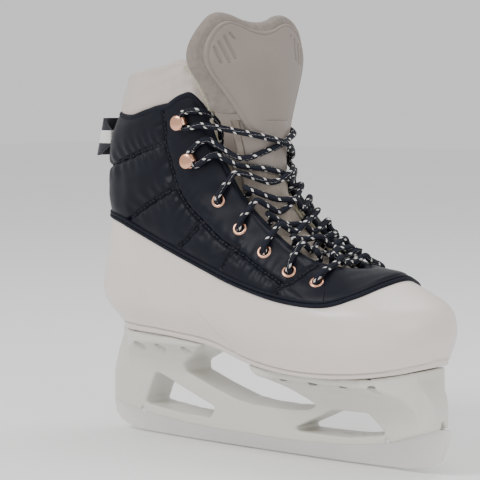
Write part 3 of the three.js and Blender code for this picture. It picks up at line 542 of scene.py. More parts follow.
QUILTED_NYLON = finish("quilted_nylon", (0.0065, 0.0075, 0.0145), (0.0035, 0.0042, 0.009), 0.34,
                       weave=2.2, bump=0.12, mottle=40.0, wear=0.25, specular=0.17)
NAVY_PIPING = finish("navy_piping", (0.010, 0.011, 0.019), (0.005, 0.006, 0.012), 0.6,
                     weave=1.1, bump=0.35, specular=0.15)
COLLAR_LEATHER = finish("collar_leatherette", (0.58, 0.51, 0.46), (0.50, 0.44, 0.395), 0.44,
                        grain=1300.0, bump=0.16, mottle=18.0)
PALE_PIPING = finish("pale_piping", (0.52, 0.48, 0.36), (0.40, 0.37, 0.27), 0.65,
                     weave=1.0, bump=0.4, sheen=0.1)
GREY_FELT = finish("grey_felt", (0.27, 0.23, 0.205), (0.185, 0.158, 0.14), 0.95,
                   grain=900.0, bump=0.9, mottle=260.0, sheen=0.15)
TONGUE_LEATHER = finish("tongue_leatherette", (0.255, 0.215, 0.19), (0.215, 0.18, 0.158), 0.42,
                        grain=1500.0, bump=0.1, mottle=14.0)
RIBBED_CLOTH = finish("ribbed_cloth", (0.36, 0.31, 0.26), (0.23, 0.195, 0.165), 0.8,
                      weave=0.7, bump=0.5, mottle=90.0, sheen=0.05)
ROSE_GOLD = finish("rose_gold", (0.80, 0.44, 0.30), (0.72, 0.38, 0.25), 0.22, metallic=1.0,
                   grain=2200.0, bump=0.04, wear=0.2)
FOAM = finish("footbed_cloth", (0.20, 0.205, 0.225), (0.13, 0.135, 0.155), 0.9,
              grain=1200.0, bump=0.5, mottle=120.0)
THREAD_DARK = finish("dark_thread", (0.015, 0.017, 0.026), (0.010, 0.011, 0.018), 0.6)
THREAD_PALE = finish("pale_thread", (0.60, 0.56, 0.47), (0.50, 0.46, 0.38), 0.7)
THREAD_GREY = finish("grey_thread", (0.30, 0.27, 0.25), (0.24, 0.215, 0.20), 0.7)
print(len(bpy.data.materials), "materials")


# %% [markdown]
# ## The moulded shell
# The real shell is injected in one piece, about 3 mm thick. A grid of stations and heights
# gives its outer face, a round rim and its inner face. A few shallow steps are pressed into
# it, where the mould's parts meet the rib over the heel and the arch.

# %% Making the shell
WALL = 3
OUTLINE = np.array(SOLE_EDGE, float)


def sole_at(x):
    return height_at(OUTLINE[:, [0, 2]], x)


def plan_inset(s, distance):
    """The sole's edge moved inwards in plan."""
    small = 0.02
    along = boot_point(s + small, 0) - boot_point(s - small, 0)
    along[..., 2] = 0
    along = unit(along)
    inward = np.stack([along[..., 1], -along[..., 0], 0 * s], -1)
    return boot_point(s, 0) + inward * distance


def line_distance(points, line):
    """Distance in side view from points to a polyline, and the place along it."""
    fine = catmull_path([(x, 0, z) for x, z in line], 1.0)[:, [0, 2]]
    gap = points[..., None, [0, 2]] - fine
    square = (gap ** 2).sum(-1)
    nearest = square.argmin(-1)
    tangent = unit(np.gradient(fine, axis=0))[nearest]
    away = np.take_along_axis(gap, nearest[..., None, None], -2)[..., 0, :]
    place = nearest + (tangent * away).sum(-1)
    side = tangent[..., 0] * away[..., 1] - tangent[..., 1] * away[..., 0]
    return np.sqrt(np.take_along_axis(square, nearest[..., None], -1)[..., 0]), place, side


SHELL_STEPS = [
    [(-131, 123), (-118, 122), (-104, 120.5), (-96, 118)],
    [(-89, 121), (-80, 108), (-71, 93), (-64, 80)],
    [(-48, 110), (-30, 94), (-14, 80), (0, 68)],
]
STEP_DEPTH, STEP_WIDTH = 0.55, 1.1


def eased(x):
    x = np.clip(x, 0, 1)
    return x * x * (3 - 2 * x)


def make_shell():
    stations = np.linspace(0, STATIONS, 401)[:-1]
    rows = []
    bottom = boot_point(stations, 0)
    for share in (0, 0.3, 0.6, 0.85, 0.97):
        rows.append(bottom * [1, share, 1])
    for t in np.linspace(0.02, TRIM_LEVEL, 66):
        face = boot_point(stations, t)
        relief = np.zeros(len(stations))
        for line in SHELL_STEPS:
            gap, _, side = line_distance(face, line)
            relief -= STEP_DEPTH * np.exp(-(gap / STEP_WIDTH) ** 2) * (1 + 0.4 * np.sign(side))
        rows.append(boot_offset(stations, t, relief))
    for turn in np.linspace(0.15, 0.85, 5) * math.pi:
        middle = boot_offset(stations, TRIM_LEVEL, np.full(len(stations), -WALL / 2))
        rows.append(middle + boot_normal(stations, TRIM_LEVEL) * (WALL / 2 * math.cos(turn))
                    + np.array([0, 0, WALL / 2 * math.sin(turn)]))
    for t in np.linspace(TRIM_LEVEL, 0.5, 24):
        rows.append(boot_offset(stations, t, np.full(len(stations), -WALL)))
    edge = plan_inset(stations, WALL)
    edge[:, 2] = sole_at(edge[:, 0]) + WALL
    for share in (1, 0.7, 0.35, 0):
        rows.append(edge * [1, share, 1])
    grid = np.stack(rows)
    faces = grid_faces(len(grid), len(stations), True)
    return recalculated(new_piece("shell_look", grid.reshape(-1, 3), faces, [SHELL_PLASTIC]))


shell = make_shell()
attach(shell, "skate")
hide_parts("shell")
print(shell.name, len(shell.data.polygons), "faces")

# %% [markdown]
# ## The quilted upper
# Nylon over foam puffs up between its seams, and the thread gathers it into short wrinkles.
# So each point rises with its distance from the nearest seam, and a few sine waves that run
# along the seam and fade away from it make the gathers.

# %% Seams and puff
FACING = [(-60, 226), (-56.8, 210.6), (-57, 203.3), (-51, 187.8), (-44.7, 173.2), (-35, 161.5),
          (-22.2, 151.9), (-6.1, 140.9), (8.4, 134.1), (25.1, 125.1), (44.2, 115.8)]
COUNTER = [(-128, 183), (-124, 184), (-110.5, 187.3), (-89.6, 192.8), (-73.5, 198.2),
           (-58.1, 202.5)]
ANKLE_SEAM = [(-87.5, 150.6), (-72.9, 159.9), (-59.6, 167.1), (-46.3, 173.7)]
ARCH_SEAM = [(-39.3, 135.6), (-31.1, 142.8), (-22.2, 151.9)]
BALL_SEAM = [(-2, 124.2), (2, 131.5), (7.4, 137.2)]
VAMP_SEAM = [(42.1, 104), (42.1, 112.2), (49.8, 117.8), (56.4, 126.1)]
SEAMS = [FACING, COUNTER, ANKLE_SEAM, ARCH_SEAM, BALL_SEAM, VAMP_SEAM]
UPPER = 3.5
PUFF, SEAM_DIP, PUFF_REACH = 2.8, 1.8, 6.5
GATHER, GATHER_REACH, GATHER_PITCH = 0.42, 8.0, 7.5


def top_level(s):
    """Where the nylon ends: along the lacing edge, and a little lower round the collar."""
    away = np.abs(s - TOE)
    return np.interp(away, [0, 4.0, 4.6, 5.0, 5.28, 5.6, 6.1, 6.62, 7.23, 7.75, 8.93, 10],
                     [6, 6.02, 6.12, 6.3, 6.55, 6.38, 6.08, 5.85, 5.8, 5.82, 5.97, 5.99])


def ripple(points):
    """Slow waves, never lined up with the grid, for cloth that doesn't lie flat."""
    x, y, z = points[..., 0], points[..., 1], points[..., 2]
    return (np.sin(0.11 * x + 0.07 * z + 1.3) * np.sin(0.16 * z - 0.05 * x + 0.06 * y)
            + 0.6 * np.sin(0.31 * x - 0.22 * z + 2.0) * np.sin(0.27 * z + 0.13 * x + 0.4))


def nylon_rise(points, share_up):
    gap = np.full(points.shape[:-1], 99.0)
    gathers = np.zeros(points.shape[:-1])
    facing_side = None
    for number, line in enumerate(SEAMS):
        d, place, side = line_distance(points, line)
        if line is FACING:
            facing_side = eased(side / 3 + 0.5)
        wave = np.sin(2 * math.pi * place / GATHER_PITCH + 1.7 * number + 0.18 * d * np.tanh(side)
                      + 2.2 * np.sin(place / 11.0 + number))
        ends = eased(place / 8) * eased((place.max() - place) / 8)
        gathers += GATHER * wave * np.exp(-(d / GATHER_REACH) ** 2) * ends
        gap = np.minimum(gap, d)
    edge = 1 - np.exp(-np.minimum(share_up, 1 - share_up) * 12)
    puff = PUFF * (1 - np.exp(-gap / PUFF_REACH)) * edge + 0.4 * ripple(points) * edge
    calm = 1 - 0.45 * facing_side
    rise = calm * (puff + gathers * edge)
    return rise - SEAM_DIP * np.exp(-(gap / 1.3) ** 2)


# %% Making the quarters and the vamp
VAMP_STATION = 7.1
VAMP_GAP = 0.01


def upper_piece(name, node, first, last):
    stations = np.linspace(first, last, int(62 * (last - first)))
    shares = np.linspace(0, 1, 90)
    s, share = np.meshgrid(stations, shares)
    t = TRIM_LEVEL + 0.06 + (top_level(s) - TRIM_LEVEL - 0.06) * share
    outer = boot_offset(s, t, nylon_rise(boot_point(s, t), share))
    inner = boot_offset(s[::6], t[::6], np.full(s[::6].shape, -UPPER))
    inner_top = boot_offset(s[-1], t[-1], np.full(len(stations), -UPPER))
    grid = np.concatenate([outer, inner_top[None], inner[::-1]])
    piece = strip_piece(name, grid, QUILTED_NYLON)
    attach(piece, "skate")
    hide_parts(node)
    print(name, len(piece.data.polygons), "faces")
    return piece


upper_piece("quarter_left_look", "quarter_left", VAMP_GAP, VAMP_STATION - VAMP_GAP)
upper_piece("quarter_right_look", "quarter_right", STATIONS - VAMP_STATION + VAMP_GAP,
            STATIONS - VAMP_GAP)
upper_piece("vamp_look", "vamp", VAMP_STATION + VAMP_GAP, STATIONS - VAMP_STATION - VAMP_GAP)

# %% [markdown]
# ## Bindings
# Where the nylon meets the shell, a double roll of dark piping hides the join. A thicker
# single roll wraps the nylon's top edge, round the collar and down both sides of the lacing.

# %% Making the bindings
def level_step(s, t):
    """How many millimetres one level is, there."""
    return np.linalg.norm(boot_point(s, t + 0.02) - boot_point(s, t - 0.02), axis=-1) / 0.04


def make_trim_binding():
    stations = np.linspace(0, STATIONS, 601)[:-1]
    width = level_step(stations, TRIM_LEVEL)
    rows = []
    for w in np.linspace(-2.5, 2.5, 21):
        roll = max(0.0, 1 - ((abs(w) - 1.25) / 1.25) ** 2)
        pull = 0.12 * np.sin(stations * 2 * math.pi * 7)
        rows.append(boot_offset(stations, TRIM_LEVEL + 0.045 + w / width,
                                0.4 + 1.6 * math.sqrt(roll) + pull * roll))
    for w in np.linspace(2.5, -2.5, 5):
        rows.append(boot_offset(stations, TRIM_LEVEL + 0.045 + w / width,
                                np.full(len(stations), -0.8)))
    return ring_piece("trim_binding_look", np.stack(rows), NAVY_PIPING)


trim = make_trim_binding()
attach(trim, "skate")
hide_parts("trim_binding")

EDGE_COLUMNS = 700
edge_stations = np.linspace(0, STATIONS, EDGE_COLUMNS + 1)[:-1]
edge_levels = top_level(edge_stations)
edge_path = boot_offset(edge_stations, edge_levels, np.full(EDGE_COLUMNS, -UPPER / 2 + 0.2))
edge_roll = tube_piece("edge_binding_look", edge_path, 2.5, NAVY_PIPING, sides=14, closed=True,
                       squash=0.95, facing=boot_normal(edge_stations, edge_levels))
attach(edge_roll, "skate")
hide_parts("edge_binding")
print(trim.name, edge_roll.name)

# %% [markdown]
# ## The padded collar
# The liner is foam under leatherette. Below the ankle it is thin and hidden. Above the
# nylon it stands up as a collar that bulges both ways and turns over in a round top, with
# soft folds where the foam is bent.

# %% Making the liner and collar
LINER_OUT = -UPPER - 1.3
THIN_LINER, COLLAR_PAD = 1.2, 7.0
LINER_COLUMNS = 800
LINER_FOOT, COLLAR_START = 0.45, 4.5  # levels


def collar_share(s):
    return eased((np.abs(s - TOE) - 5.0) / 0.45)


def collar_top(s):
    return np.interp(np.abs(s - TOE), [0, 4.85, 5.0, 5.15, 5.28, 5.43, 5.8, 10],
                     [6.02, 6.02, 6.2, 6.6, 6.84, 6.95, 6.97, 6.97])


def make_liner():
    stations = np.linspace(0, STATIONS, LINER_COLUMNS + 1)[:-1]
    share = collar_share(stations)
    top = collar_top(stations)
    rows = []
    for w in np.linspace(0, 1, 46):
        t = COLLAR_START + (top - COLLAR_START) * w
        bulge = eased((t - 5.55) / 0.5) * (1 - 0.55 * eased((t - 6.45) / 0.5))
        face = boot_point(stations, t)
        folds = 0.5 * ripple(face * 1.6) * eased((t - 5.8) / 0.4)
        rows.append(boot_offset(stations, t, LINER_OUT + share * (4.3 * bulge + folds)))
    outer_top = rows[-1]
    inner_offset = LINER_OUT - THIN_LINER - share * (COLLAR_PAD - THIN_LINER)
    inner_top = boot_offset(stations, top, inner_offset)
    middle = (outer_top + inner_top) / 2
    for turn in np.linspace(0, math.pi, 15)[1:-1]:
        across = (outer_top - inner_top) / 2
        lift = (0.6 + share * 3.0)[:, None] * np.array([0, 0, 1.0])
        rows.append(middle + across * math.cos(turn) + lift * math.sin(turn))
    for w in np.linspace(0, 1, 46):
        t = top + (LINER_FOOT - top) * w
        padded_part = eased((t - 4.6) / 0.6) * share
        swell = 1.6 * np.exp(-((t - 6.1) / 0.5) ** 2) * share
        depth = LINER_OUT - THIN_LINER - padded_part * (COLLAR_PAD - THIN_LINER) - swell
        depth = depth - 1.4 * (1 - eased((t - 3.5) / 1.0))
        rows.append(boot_offset(stations, t, depth))
    for t in (LINER_FOOT, 1.0, 2.0, 3.0, 3.8):
        rows.append(boot_offset(stations, t, np.full(LINER_COLUMNS, LINER_OUT)))
    return ring_piece("liner_look", np.stack(rows), COLLAR_LEATHER)


liner = make_liner()
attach(liner, "skate")
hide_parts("liner")
print(liner.name, len(liner.data.polygons), "faces")

# %% [markdown]
# A pale double piping edges the collar's front and runs down inside both rows of lacing.
# Each roll is a thin tube along the same line on the boot, one just behind the other.

# %% Piping on the collar's front
PIPING_LINE = [(6.05, 6.98), (5.75, 7.0), (5.5, 6.99), (5.3, 6.9), (5.15, 6.66), (5.0, 6.36),
               (4.7, 6.17), (4.2, 6.09), (3.5, 6.07), (2.8, 6.06), (2.3, 6.05)]


def piping_path(side, depth):
    line = catmull_path([(a, 0, t) for a, t in PIPING_LINE], 0.02)
    s, t = TOE + side * line[:, 0], line[:, 2]
    behind = depth + np.interp(line[:, 0], [2.3, 4.8, 5.2, 6.05], [-4.2, -4.2, -2.0, -2.4])
    return catmull_path(boot_offset(s, t, behind)[::4], 1.0)


for side, word in ((-1, "left"), (1, "right")):
    for number, depth in enumerate((0.3, -2.2)):
        roll = tube_piece(f"collar_piping_{word}_{number + 1}", piping_path(side, depth), 1.35,
                          PALE_PIPING, sides=12)
        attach(roll, "skate")
print("collar piping made")

# %% [markdown]
# ## Footbed and outsole plate
# Both are flat plates with rounded edges, cut to the sole's outline. The plate carries the
# rivets, and the footbed is foam under cloth.

# %% Making the two plates
def plate_piece(name, node, inset, bottom, top, radius, material):
    stations = np.linspace(0, STATIONS, 301)[:-1]
    rows = []
    for share in (0, 0.5, 0.9):
        ring = plan_inset(stations, inset + radius)
        ring = np.stack([ring[:, 0], ring[:, 1] * share, bottom(ring[:, 0])], -1)
        rows.append(ring)
    for turn in np.linspace(-90, 90, 9) * math.pi / 180:
        ring = plan_inset(stations, inset + radius * (1 - math.cos(turn)))
        low, high = bottom(ring[:, 0]), top(ring[:, 0])
        half = (high - low) / 2
        ring[:, 2] = (low + high) / 2 + half * math.sin(turn)
        rows.append(ring)
    for share in (0.9, 0.5, 0):
        ring = plan_inset(stations, inset + radius)
        rows.append(np.stack([ring[:, 0], ring[:, 1] * share, top(ring[:, 0])], -1))
    grid = np.stack(rows)
    piece = recalculated(new_piece(name, grid.reshape(-1, 3),
                                   grid_faces(len(grid), len(stations), True), [material]))
    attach(piece, "skate")
    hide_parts(node)
    print(name, len(piece.data.polygons), "faces")
    return piece


plate_piece("footbed_look", "footbed", 9, lambda x: sole_at(x) + 6.2,
            lambda x: sole_at(x) + 10.2, 1.8, FOAM)
OUTSOLE_UNDERSIDE = [
    (-125, 75.6), (-105, 75), (-69, 74), (-30, 70.8), (-14, 67.6), (7, 62.6), (25, 60),
    (48, 58.8), (71, 58.7), (98, 60.4), (121, 63.8), (140, 68.5)]
plate_piece("outsole_look", "outsole_plate", 1.0, lambda x: height_at(OUTSOLE_UNDERSIDE, x),
            lambda x: sole_at(x) + 0.1, 1.2, SOLE_PLASTIC)

# %% [markdown]
# ## The tongue
# The tongue's lower part lies behind the lacing and follows one line up the boot. Its
# upper part is a wide cuff: a thick felt pad with a stiffer, smooth panel sewn on its front.
# Both cuff pieces are round grids: rings spread from a middle point out to a drawn outline.

# %% The tongue's lower part
TONGUE_LINE = np.array([
    [82, 114.5, 8, 3], [63, 125, 10.6, 6.4], [46, 132, 18.6, 11.5], [31, 142.5, 20, 12],
    [20, 155.5, 19, 12.5], [12.5, 171, 17.5, 12.5], [8.6, 189, 19.4, 12.5],
    [7.2, 205, 24, 13], [7, 218, 27, 13]])
TONGUE_THICKNESS = 7


def tongue_frame(u):
    last = len(TONGUE_LINE) - 1
    at = np.clip(np.asarray(u, float), 0, 1) * last
    i = np.minimum(np.floor(at).astype(int), last - 1)
    rows = [TONGUE_LINE[np.clip(i + k, 0, last)] for k in (-1, 0, 1, 2)]
    share = (at - i)[..., None]
    smooth = spline(*rows, share)
    ahead = spline(*rows, share + 0.01) - spline(*rows, share - 0.01)
    tangent = unit(ahead[..., :2])
    out = np.stack([tangent[..., 1], 0 * at, -tangent[..., 0]], -1)
    linear = rows[1] + (rows[2] - rows[1]) * share
    middle = np.stack([smooth[..., 0], 0 * at, smooth[..., 1]], -1)
    return middle, out, linear[..., 2], linear[..., 3]


def tongue_point(u, y, lift=0.0):
    middle, out, half, depth = tongue_frame(u)
    behind = depth * (y / half) ** 2
    across = np.stack([0 * behind, y + 0 * behind, 0 * behind], -1)
    return middle + out * (lift - behind)[..., None] + across


def tongue_slab(name, node, material, shares, front, back, top=1.0, pleats=0.0):
    u, w = np.meshgrid(np.linspace(0, top, 110), np.linspace(*shares, 121), indexing="ij")
    half = tongue_frame(u)[2]
    edge = 1 - 0.8 * np.abs(2 * (w - shares[0]) / (shares[1] - shares[0]) - 1) ** 8
    ribs = pleats * np.abs(np.sin(w * half * math.pi / 3.1 + 0.5 * np.sin(u * 25)))
    wrinkle = pleats * 0.8 * np.sin(u * 55 + 2 * np.sin(w * 3 + u * 9))
    face = tongue_point(u, w * half, front + ribs + wrinkle - (1 - edge) * (front - back) / 2)
    rear = tongue_point(u, w * half, back + 0 * u + (1 - edge) * (front - back) / 2)
    piece = strip_piece(name, np.concatenate([face, rear[::-1]]), material, zipped=True)
    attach(piece, "skate")
    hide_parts(node)
    print(name, len(piece.data.polygons), "faces")
    return piece


lower = tongue_slab("tongue_lower_look", "tongue_base", RIBBED_CLOTH, (-1, 1), -0.4,
                    -TONGUE_THICKNESS, pleats=0.5)
tongue_slab("gusset_left_look", "gusset_left", RIBBED_CLOTH, (0.4, 1.05), -8.5, -9.7,
            0.8)
tongue_slab("gusset_right_look", "gusset_right", RIBBED_CLOTH, (-1.05, -0.4), -8.5,
            -9.7, 0.8)

# %% The cuff's outline and curve
CUFF_SECTIONS = np.array([
    [205, 7.6, 0.0165], [214, 7, 0.0125], [231, 5.8, 0.0084], [244, 4.5, 0.0065],
    [256, 3, 0.0054], [270, -2.5, 0.0036], [282, -7.5, 0.0018], [294, -12, 0.001]])
RIM_OUTLINE = [
    (0, 222), (22, 221.6), (38, 223), (43, 231), (49, 241), (55, 250), (57.5, 257), (57, 264),
    (53.5, 272), (48, 279), (41, 284.5), (33, 287), (25, 286.4), (15, 283.4), (7, 281.9),
    (0, 281.5)]
PANEL_OUTLINE = [
    (0, 206), (12, 206.5), (20, 209), (26, 218), (33, 228.5), (41, 239), (48, 248.5),
    (51.3, 257), (50.3, 264.5), (46.5, 272), (40.5, 278), (32, 281.2), (24, 280.4),
    (14, 277.4), (6, 275.9), (0, 275.5)]
CUFF_MIDDLE = np.array([0.0, 250.0])


def cuff_surface(y, z, lift):
    x = height_at(CUFF_SECTIONS[:, [0, 1]], z)
    bend = height_at(CUFF_SECTIONS[:, [0, 2]], z)
    return np.stack([x + lift - bend * y ** 2, y, z + 0 * y], -1)


def cuff_outline(half):
    half = np.array(half, float)
    full = np.vstack([half, half[1:-1][::-1] * [-1, 1]])
    points = catmull_path(np.stack([0 * full[:, 0], full[:, 0], full[:, 1]], -1), 0.7, True)
    return points[:, 1:]


def cuff_piece(name, outline, front, back, radius, material, crown, relief=None):
    """Rings out to the outline in front, round the edge, and back to the middle behind."""
    edge = cuff_outline(outline)
    rows, middle = [], CUFF_MIDDLE
    inner = edge - unit(edge - middle) * radius
    half = (front - back) / 2
    for share in np.linspace(0.01, 1, 60):
        flat = middle + (inner - middle) * share
        gap = np.linalg.norm(edge - flat, axis=-1)
        lift = front + crown * (1 - share ** 2)
        lift = lift + (relief(flat, gap) if relief else 0)
        rows.append(cuff_surface(flat[:, 0], flat[:, 1], lift))
    for turn in np.linspace(90, -90, 15)[1:-1] * math.pi / 180:
        flat = inner + (edge - inner) * math.cos(turn)
        lift = (front + back) / 2 + half * math.sin(turn)
        rows.append(cuff_surface(flat[:, 0], flat[:, 1], lift))
    for share in np.linspace(1, 0.01, 24):
        flat = middle + (inner - middle) * share
        rows.append(cuff_surface(flat[:, 0], flat[:, 1], back - crown * (1 - share ** 2)))
    grid = np.stack(rows)
    count = grid.shape[1]
    faces = [tuple(f) for f in grid_faces(len(grid), count, True)]
    faces.append(tuple(range(count)))
    faces.append(tuple((len(grid) - 1) * count + k for k in range(count)))
    return recalculated(new_piece(name, grid.reshape(-1, 3), faces, [material]))


# %% [markdown]
# The panel has a pressed line a few millimetres inside its edge, and three long vents and
# a short one on each side. All of them are dents in the same grid.

# %% The felt pad and the front panel
VENTS = [((35.8, 271), (30.8, 257.5), 1.5), ((40.5, 267.5), (35.5, 255.2), 1.4),
         ((44.5, 264.2), (41, 255), 1.3), ((31.5, 273.5), (28.5, 270.2), 1.0)]


def segment_gap(points, first, last):
    first, last = np.array(first), np.array(last)
    way = last - first
    share = np.clip(((points - first) @ way) / (way @ way), 0, 1)
    return np.linalg.norm(points - first - share[..., None] * way, axis=-1)


def panel_relief(flat, gap):
    rise = -0.8 * np.exp(-((gap - 2.6) / 0.5) ** 2)
    mirrored = np.abs(flat[:, 0])
    points = np.stack([mirrored, flat[:, 1]], -1)
    for first, last, width in VENTS:
        d = segment_gap(points, first, last)
        rise = rise - 1.3 * (1 - eased((d - width * 0.5) / 0.5))
    return rise


pad = cuff_piece("tongue_rim_look", RIM_OUTLINE, -1.6, -9.2, 3.2, GREY_FELT, 0.0)
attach(pad, "tongue_cuff")
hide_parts("tongue_pad")
panel = cuff_piece("tongue_panel_look", PANEL_OUTLINE, 0.1, -2.4, 1.0, TONGUE_LEATHER, 0.5,
                   panel_relief)
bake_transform(panel)
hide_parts("tongue_shield")
print(pad.name, panel.name)

# %% [markdown]
# The panel's leatherette runs on down the tongue as a neck. It ends in a round seam, below
# which the tongue is ribbed cloth.

# %% The neck
def make_neck():
    u, w = np.meshgrid(np.linspace(0.70, 0.985, 60), np.linspace(-1, 1, 81), indexing="ij")
    end = 0.70 + 0.06 * np.abs(w) ** 2.5
    u = end + (0.985 - end) * (u - 0.70) / 0.285
    half = tongue_frame(u)[2] * 0.93
    soft = 0.35 * np.sin(u * 60 + 1.5 * np.sin(w * 2.2)) * (1 - w ** 2)
    round_edge = 1 - np.abs(w) ** 10
    low_edge = 1 - np.exp(-(u - end) / 0.006)
    face = tongue_point(u, w * half, 0.2 + 1.3 * round_edge * low_edge + soft * low_edge)
    rear = tongue_point(u, w * half, -0.8 + 0 * u)
    return strip_piece("tongue_neck", np.concatenate([face, rear[::-1]]), TONGUE_LEATHER,
                       zipped=True)


neck = make_neck()
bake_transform(neck)
print(neck.name, len(neck.data.polygons), "faces")

# %% [markdown]
# ## Eyelets and speed hooks
# An eyelet is a spun ring. A speed hook is a riveted base, a half-round bend on the
# tongue's side and a domed disc over the lace. Each sits in its own frame on the boot:
# out of the surface, up along the row, and in towards the tongue.

# %% Spots along the lacing
EYELETS = [(-12.5, 165), (6, 148), (26, 134.5), (45.5, 123), (65, 117)]
HOOKS = [(-42, 216), (-35, 190.6)]
fine_s, fine_t = np.meshgrid(np.linspace(TOE, STATIONS, 241), np.linspace(3.3, 6, 91),
                             indexing="ij")
fine_points = boot_point(fine_s, fine_t)
edge_line = boot_point(np.linspace(TOE, STATIONS, 601), 6.0)


def nearest_spot(x, z):
    error = (fine_points[..., 0] - x) ** 2 + (fine_points[..., 2] - z) ** 2
    i, j = np.unravel_index(error.argmin(), error.shape)
    return fine_points[i, j], boot_normal(fine_s[i, j], fine_t[i, j])


def row_of_spots():
    found = [nearest_spot(*place) for place in EYELETS[::-1] + HOOKS[::-1]]
    spots = []
    for i, (p, out) in enumerate(found):
        along = unit(found[min(i + 1, len(found) - 1)][0] - found[max(i - 1, 0)][0])
        up = unit(along - out * (along @ out))
        spots.append((p, out, up, unit(np.cross(up, out))))
    return spots


RIGHT_SPOTS = row_of_spots()
FLIP = np.array([1, -1, 1])


def spot_point(number, side, fraction, towards, along, outward):
    """A point by a spot; fraction 1 measures towards and outward from the lacing edge."""
    p, out, up, inward = RIGHT_SPOTS[number]
    if fraction:
        gap = edge_line - p
        ahead = gap[(gap @ inward) > 0]
        near = ahead[np.abs(ahead @ up - along).argmin()]
        towards, outward = towards + near @ inward, outward + near @ out
    place = p + inward * towards + up * along + out * outward
    return place if side < 0 else place * FLIP


print(len(RIGHT_SPOTS), "spots on each side")


# %% Eyelet rings and hooks
def turned_grid(profile, number, side, sides=40, shift=0.0):
    """A profile of radius and height spun round a spot, moved towards the tongue."""
    turn = np.linspace(0, 2 * math.pi, sides, endpoint=False)
    rows = [[spot_point(number, side, 0, r * math.cos(a) + shift, r * math.sin(a), h)
             for a in turn] for r, h in profile]
    return np.array(rows)


def join_grids(name, grids, material):
    points, faces, start = [], [], 0
    for grid, closed_profile in grids:
        rows, count = grid.shape[:2]
        points.append(grid.reshape(-1, 3))
        if closed_profile:
            quads = grid_faces(rows + 1, count, True) % (rows * count) + start
        else:
            quads = grid_faces(rows, count, True, start)
            faces.append(tuple(start + k for k in range(count)))
            faces.append(tuple(start + (rows - 1) * count + k for k in range(count)))
        faces += [tuple(f) for f in quads]
        start += rows * count
    return recalculated(new_piece(name, np.vstack(points), faces, [material]))


def ring_profile():
    wire = [(3.6 + 1.05 * math.cos(a), 1.1 + 0.75 * math.sin(a))
            for a in np.linspace(-0.3, math.pi + 0.2, 14)]
    return [(4.5, 0.3)] + wire + [(2.6, -2.4), (3.2, -2.4), (3.2, 0.2)]


def hook_grids(number, side):
    base = [(0.01, 1.9), (4.0, 1.8), (4.6, 1.3), (4.6, 0.8), (0.01, 0.8)]
    top = [(0.01, 6.5), (4.0, 6.5), (4.9, 6.7), (5.0, 7.1), (4.7, 7.5), (3.6, 7.9), (2.0, 8.1),
           (0.01, 8.15)]
    grids = [(turned_grid(base, number, side, shift=-0.6), False),
             (turned_grid(top, number, side, shift=-0.2), False)]
    rows = []
    for w in np.linspace(-90, 90, 17) * math.pi / 180:  # the half-round bend
        ring = []
        for k in np.linspace(0, 2 * math.pi, 24, endpoint=False):
            thick = 3.25 + 0.5 * np.sign(math.cos(k)) * abs(math.cos(k)) ** 0.4
            wide = 2.6 * np.sign(math.sin(k)) * abs(math.sin(k)) ** 0.4
            ring.append(spot_point(number, side, 0, 2.3 + 0.9 * thick * math.cos(w), wide,
                                   4.05 + thick * math.sin(w)))
        rows.append(ring)
    return grids + [(np.array(rows), False)]


for side, word in ((-1, "right"), (1, "left")):
    for number in range(len(RIGHT_SPOTS)):
        if number < len(EYELETS):
            name = f"eyelet_{word}_{number + 1}"
            rings = [(turned_grid(ring_profile(), number, side), True)]
        else:
            name = f"hook_{word}_{number - len(EYELETS) + 1}"
            rings = hook_grids(number, side)
        piece = join_grids(name + "_look", rings, ROSE_GOLD)
        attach(piece, "skate")
        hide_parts(name)
print("eyelets and hooks made")

# %% [markdown]
# ## The lace
# The boot holds the lace all the way, so it is one tube on one smooth line. The line comes
# from the way a skate is laced: out through an eyelet, over the edge, across the tongue,
# under the facing and out again, then round the hooks, with the ends tucked inside.

# %% The lace's way
UNDER_FACING = [(1, 6.2, -5, 3), (1, 6.8, -5.5, -3), (1, 2.7, -5, -8.6), (0, 4, -2.2, -8.2)]
THROUGH_EYELET = [(0, 0.7, -0.4, -6), (0, 0, 0, 1.4), (0, 2.4, 1.3, 4.8)]
OVER_EDGE = [(1, 0.5, 5.6, 4.3), (1, 6.2, 6.4, 4)]
LOWEST_EYELET = [
    (1, 5.2, -1.5, 3.6), (1, 0, -1.5, 4), (0, 2.6, -0.5, 4.8), (0, 0, 0, 1.4),
    (0, 0.7, 0.4, -6), (0, 4, 2.2, -8.2), (1, 2.5, 5, -8.4), (1, 7, 5.5, -3.2),
    (1, 7.6, 5, 4.2)]
ROUND_HOOK = [(1, 2, -5.8, 6.6), (0, 7, -5.6, 4), (0, 2.6, -4.4, 4), (0, 1.2, 0, 4),
              (0, 2.6, 4.4, 4), (0, 7, 5.6, 4), (1, 2, 5.8, 6.6)]
TUCKED_END = [(1, 4, 4, 4.6), (1, 7.5, 1, -1), (1, 7, -6, -9), (1, 1, -15, -14),
              (0, 9, -27, -16)]
CROSSINGS = [0.2, 0.31, 0.43, 0.56, 0.7, 0.85]
BESIDE = [6, 9.5, 11]
SHOULDER, REST, CROSSED, SLOPE = 25, 3.8, 7.6, 0.03


def strand(k, start, over):
    u, rests = CROSSINGS[k], BESIDE[min(k, len(BESIDE) - 1)]
    beside = REST + 2.2 if over else REST
    way = [(u - SLOPE, start * rests, beside), (u, 0.0, CROSSED if over else REST),
           (u + SLOPE, -start * rests, beside)]
    if k >= len(EYELETS) - 1:
        way.append((u + 2 * SLOPE, -start * SHOULDER, beside + 3))
    if k >= len(EYELETS):
        way.insert(0, (u - 2 * SLOPE, start * SHOULDER, beside + 3))
    return [tongue_point(*(np.float64(v) for v in step)) for step in way]


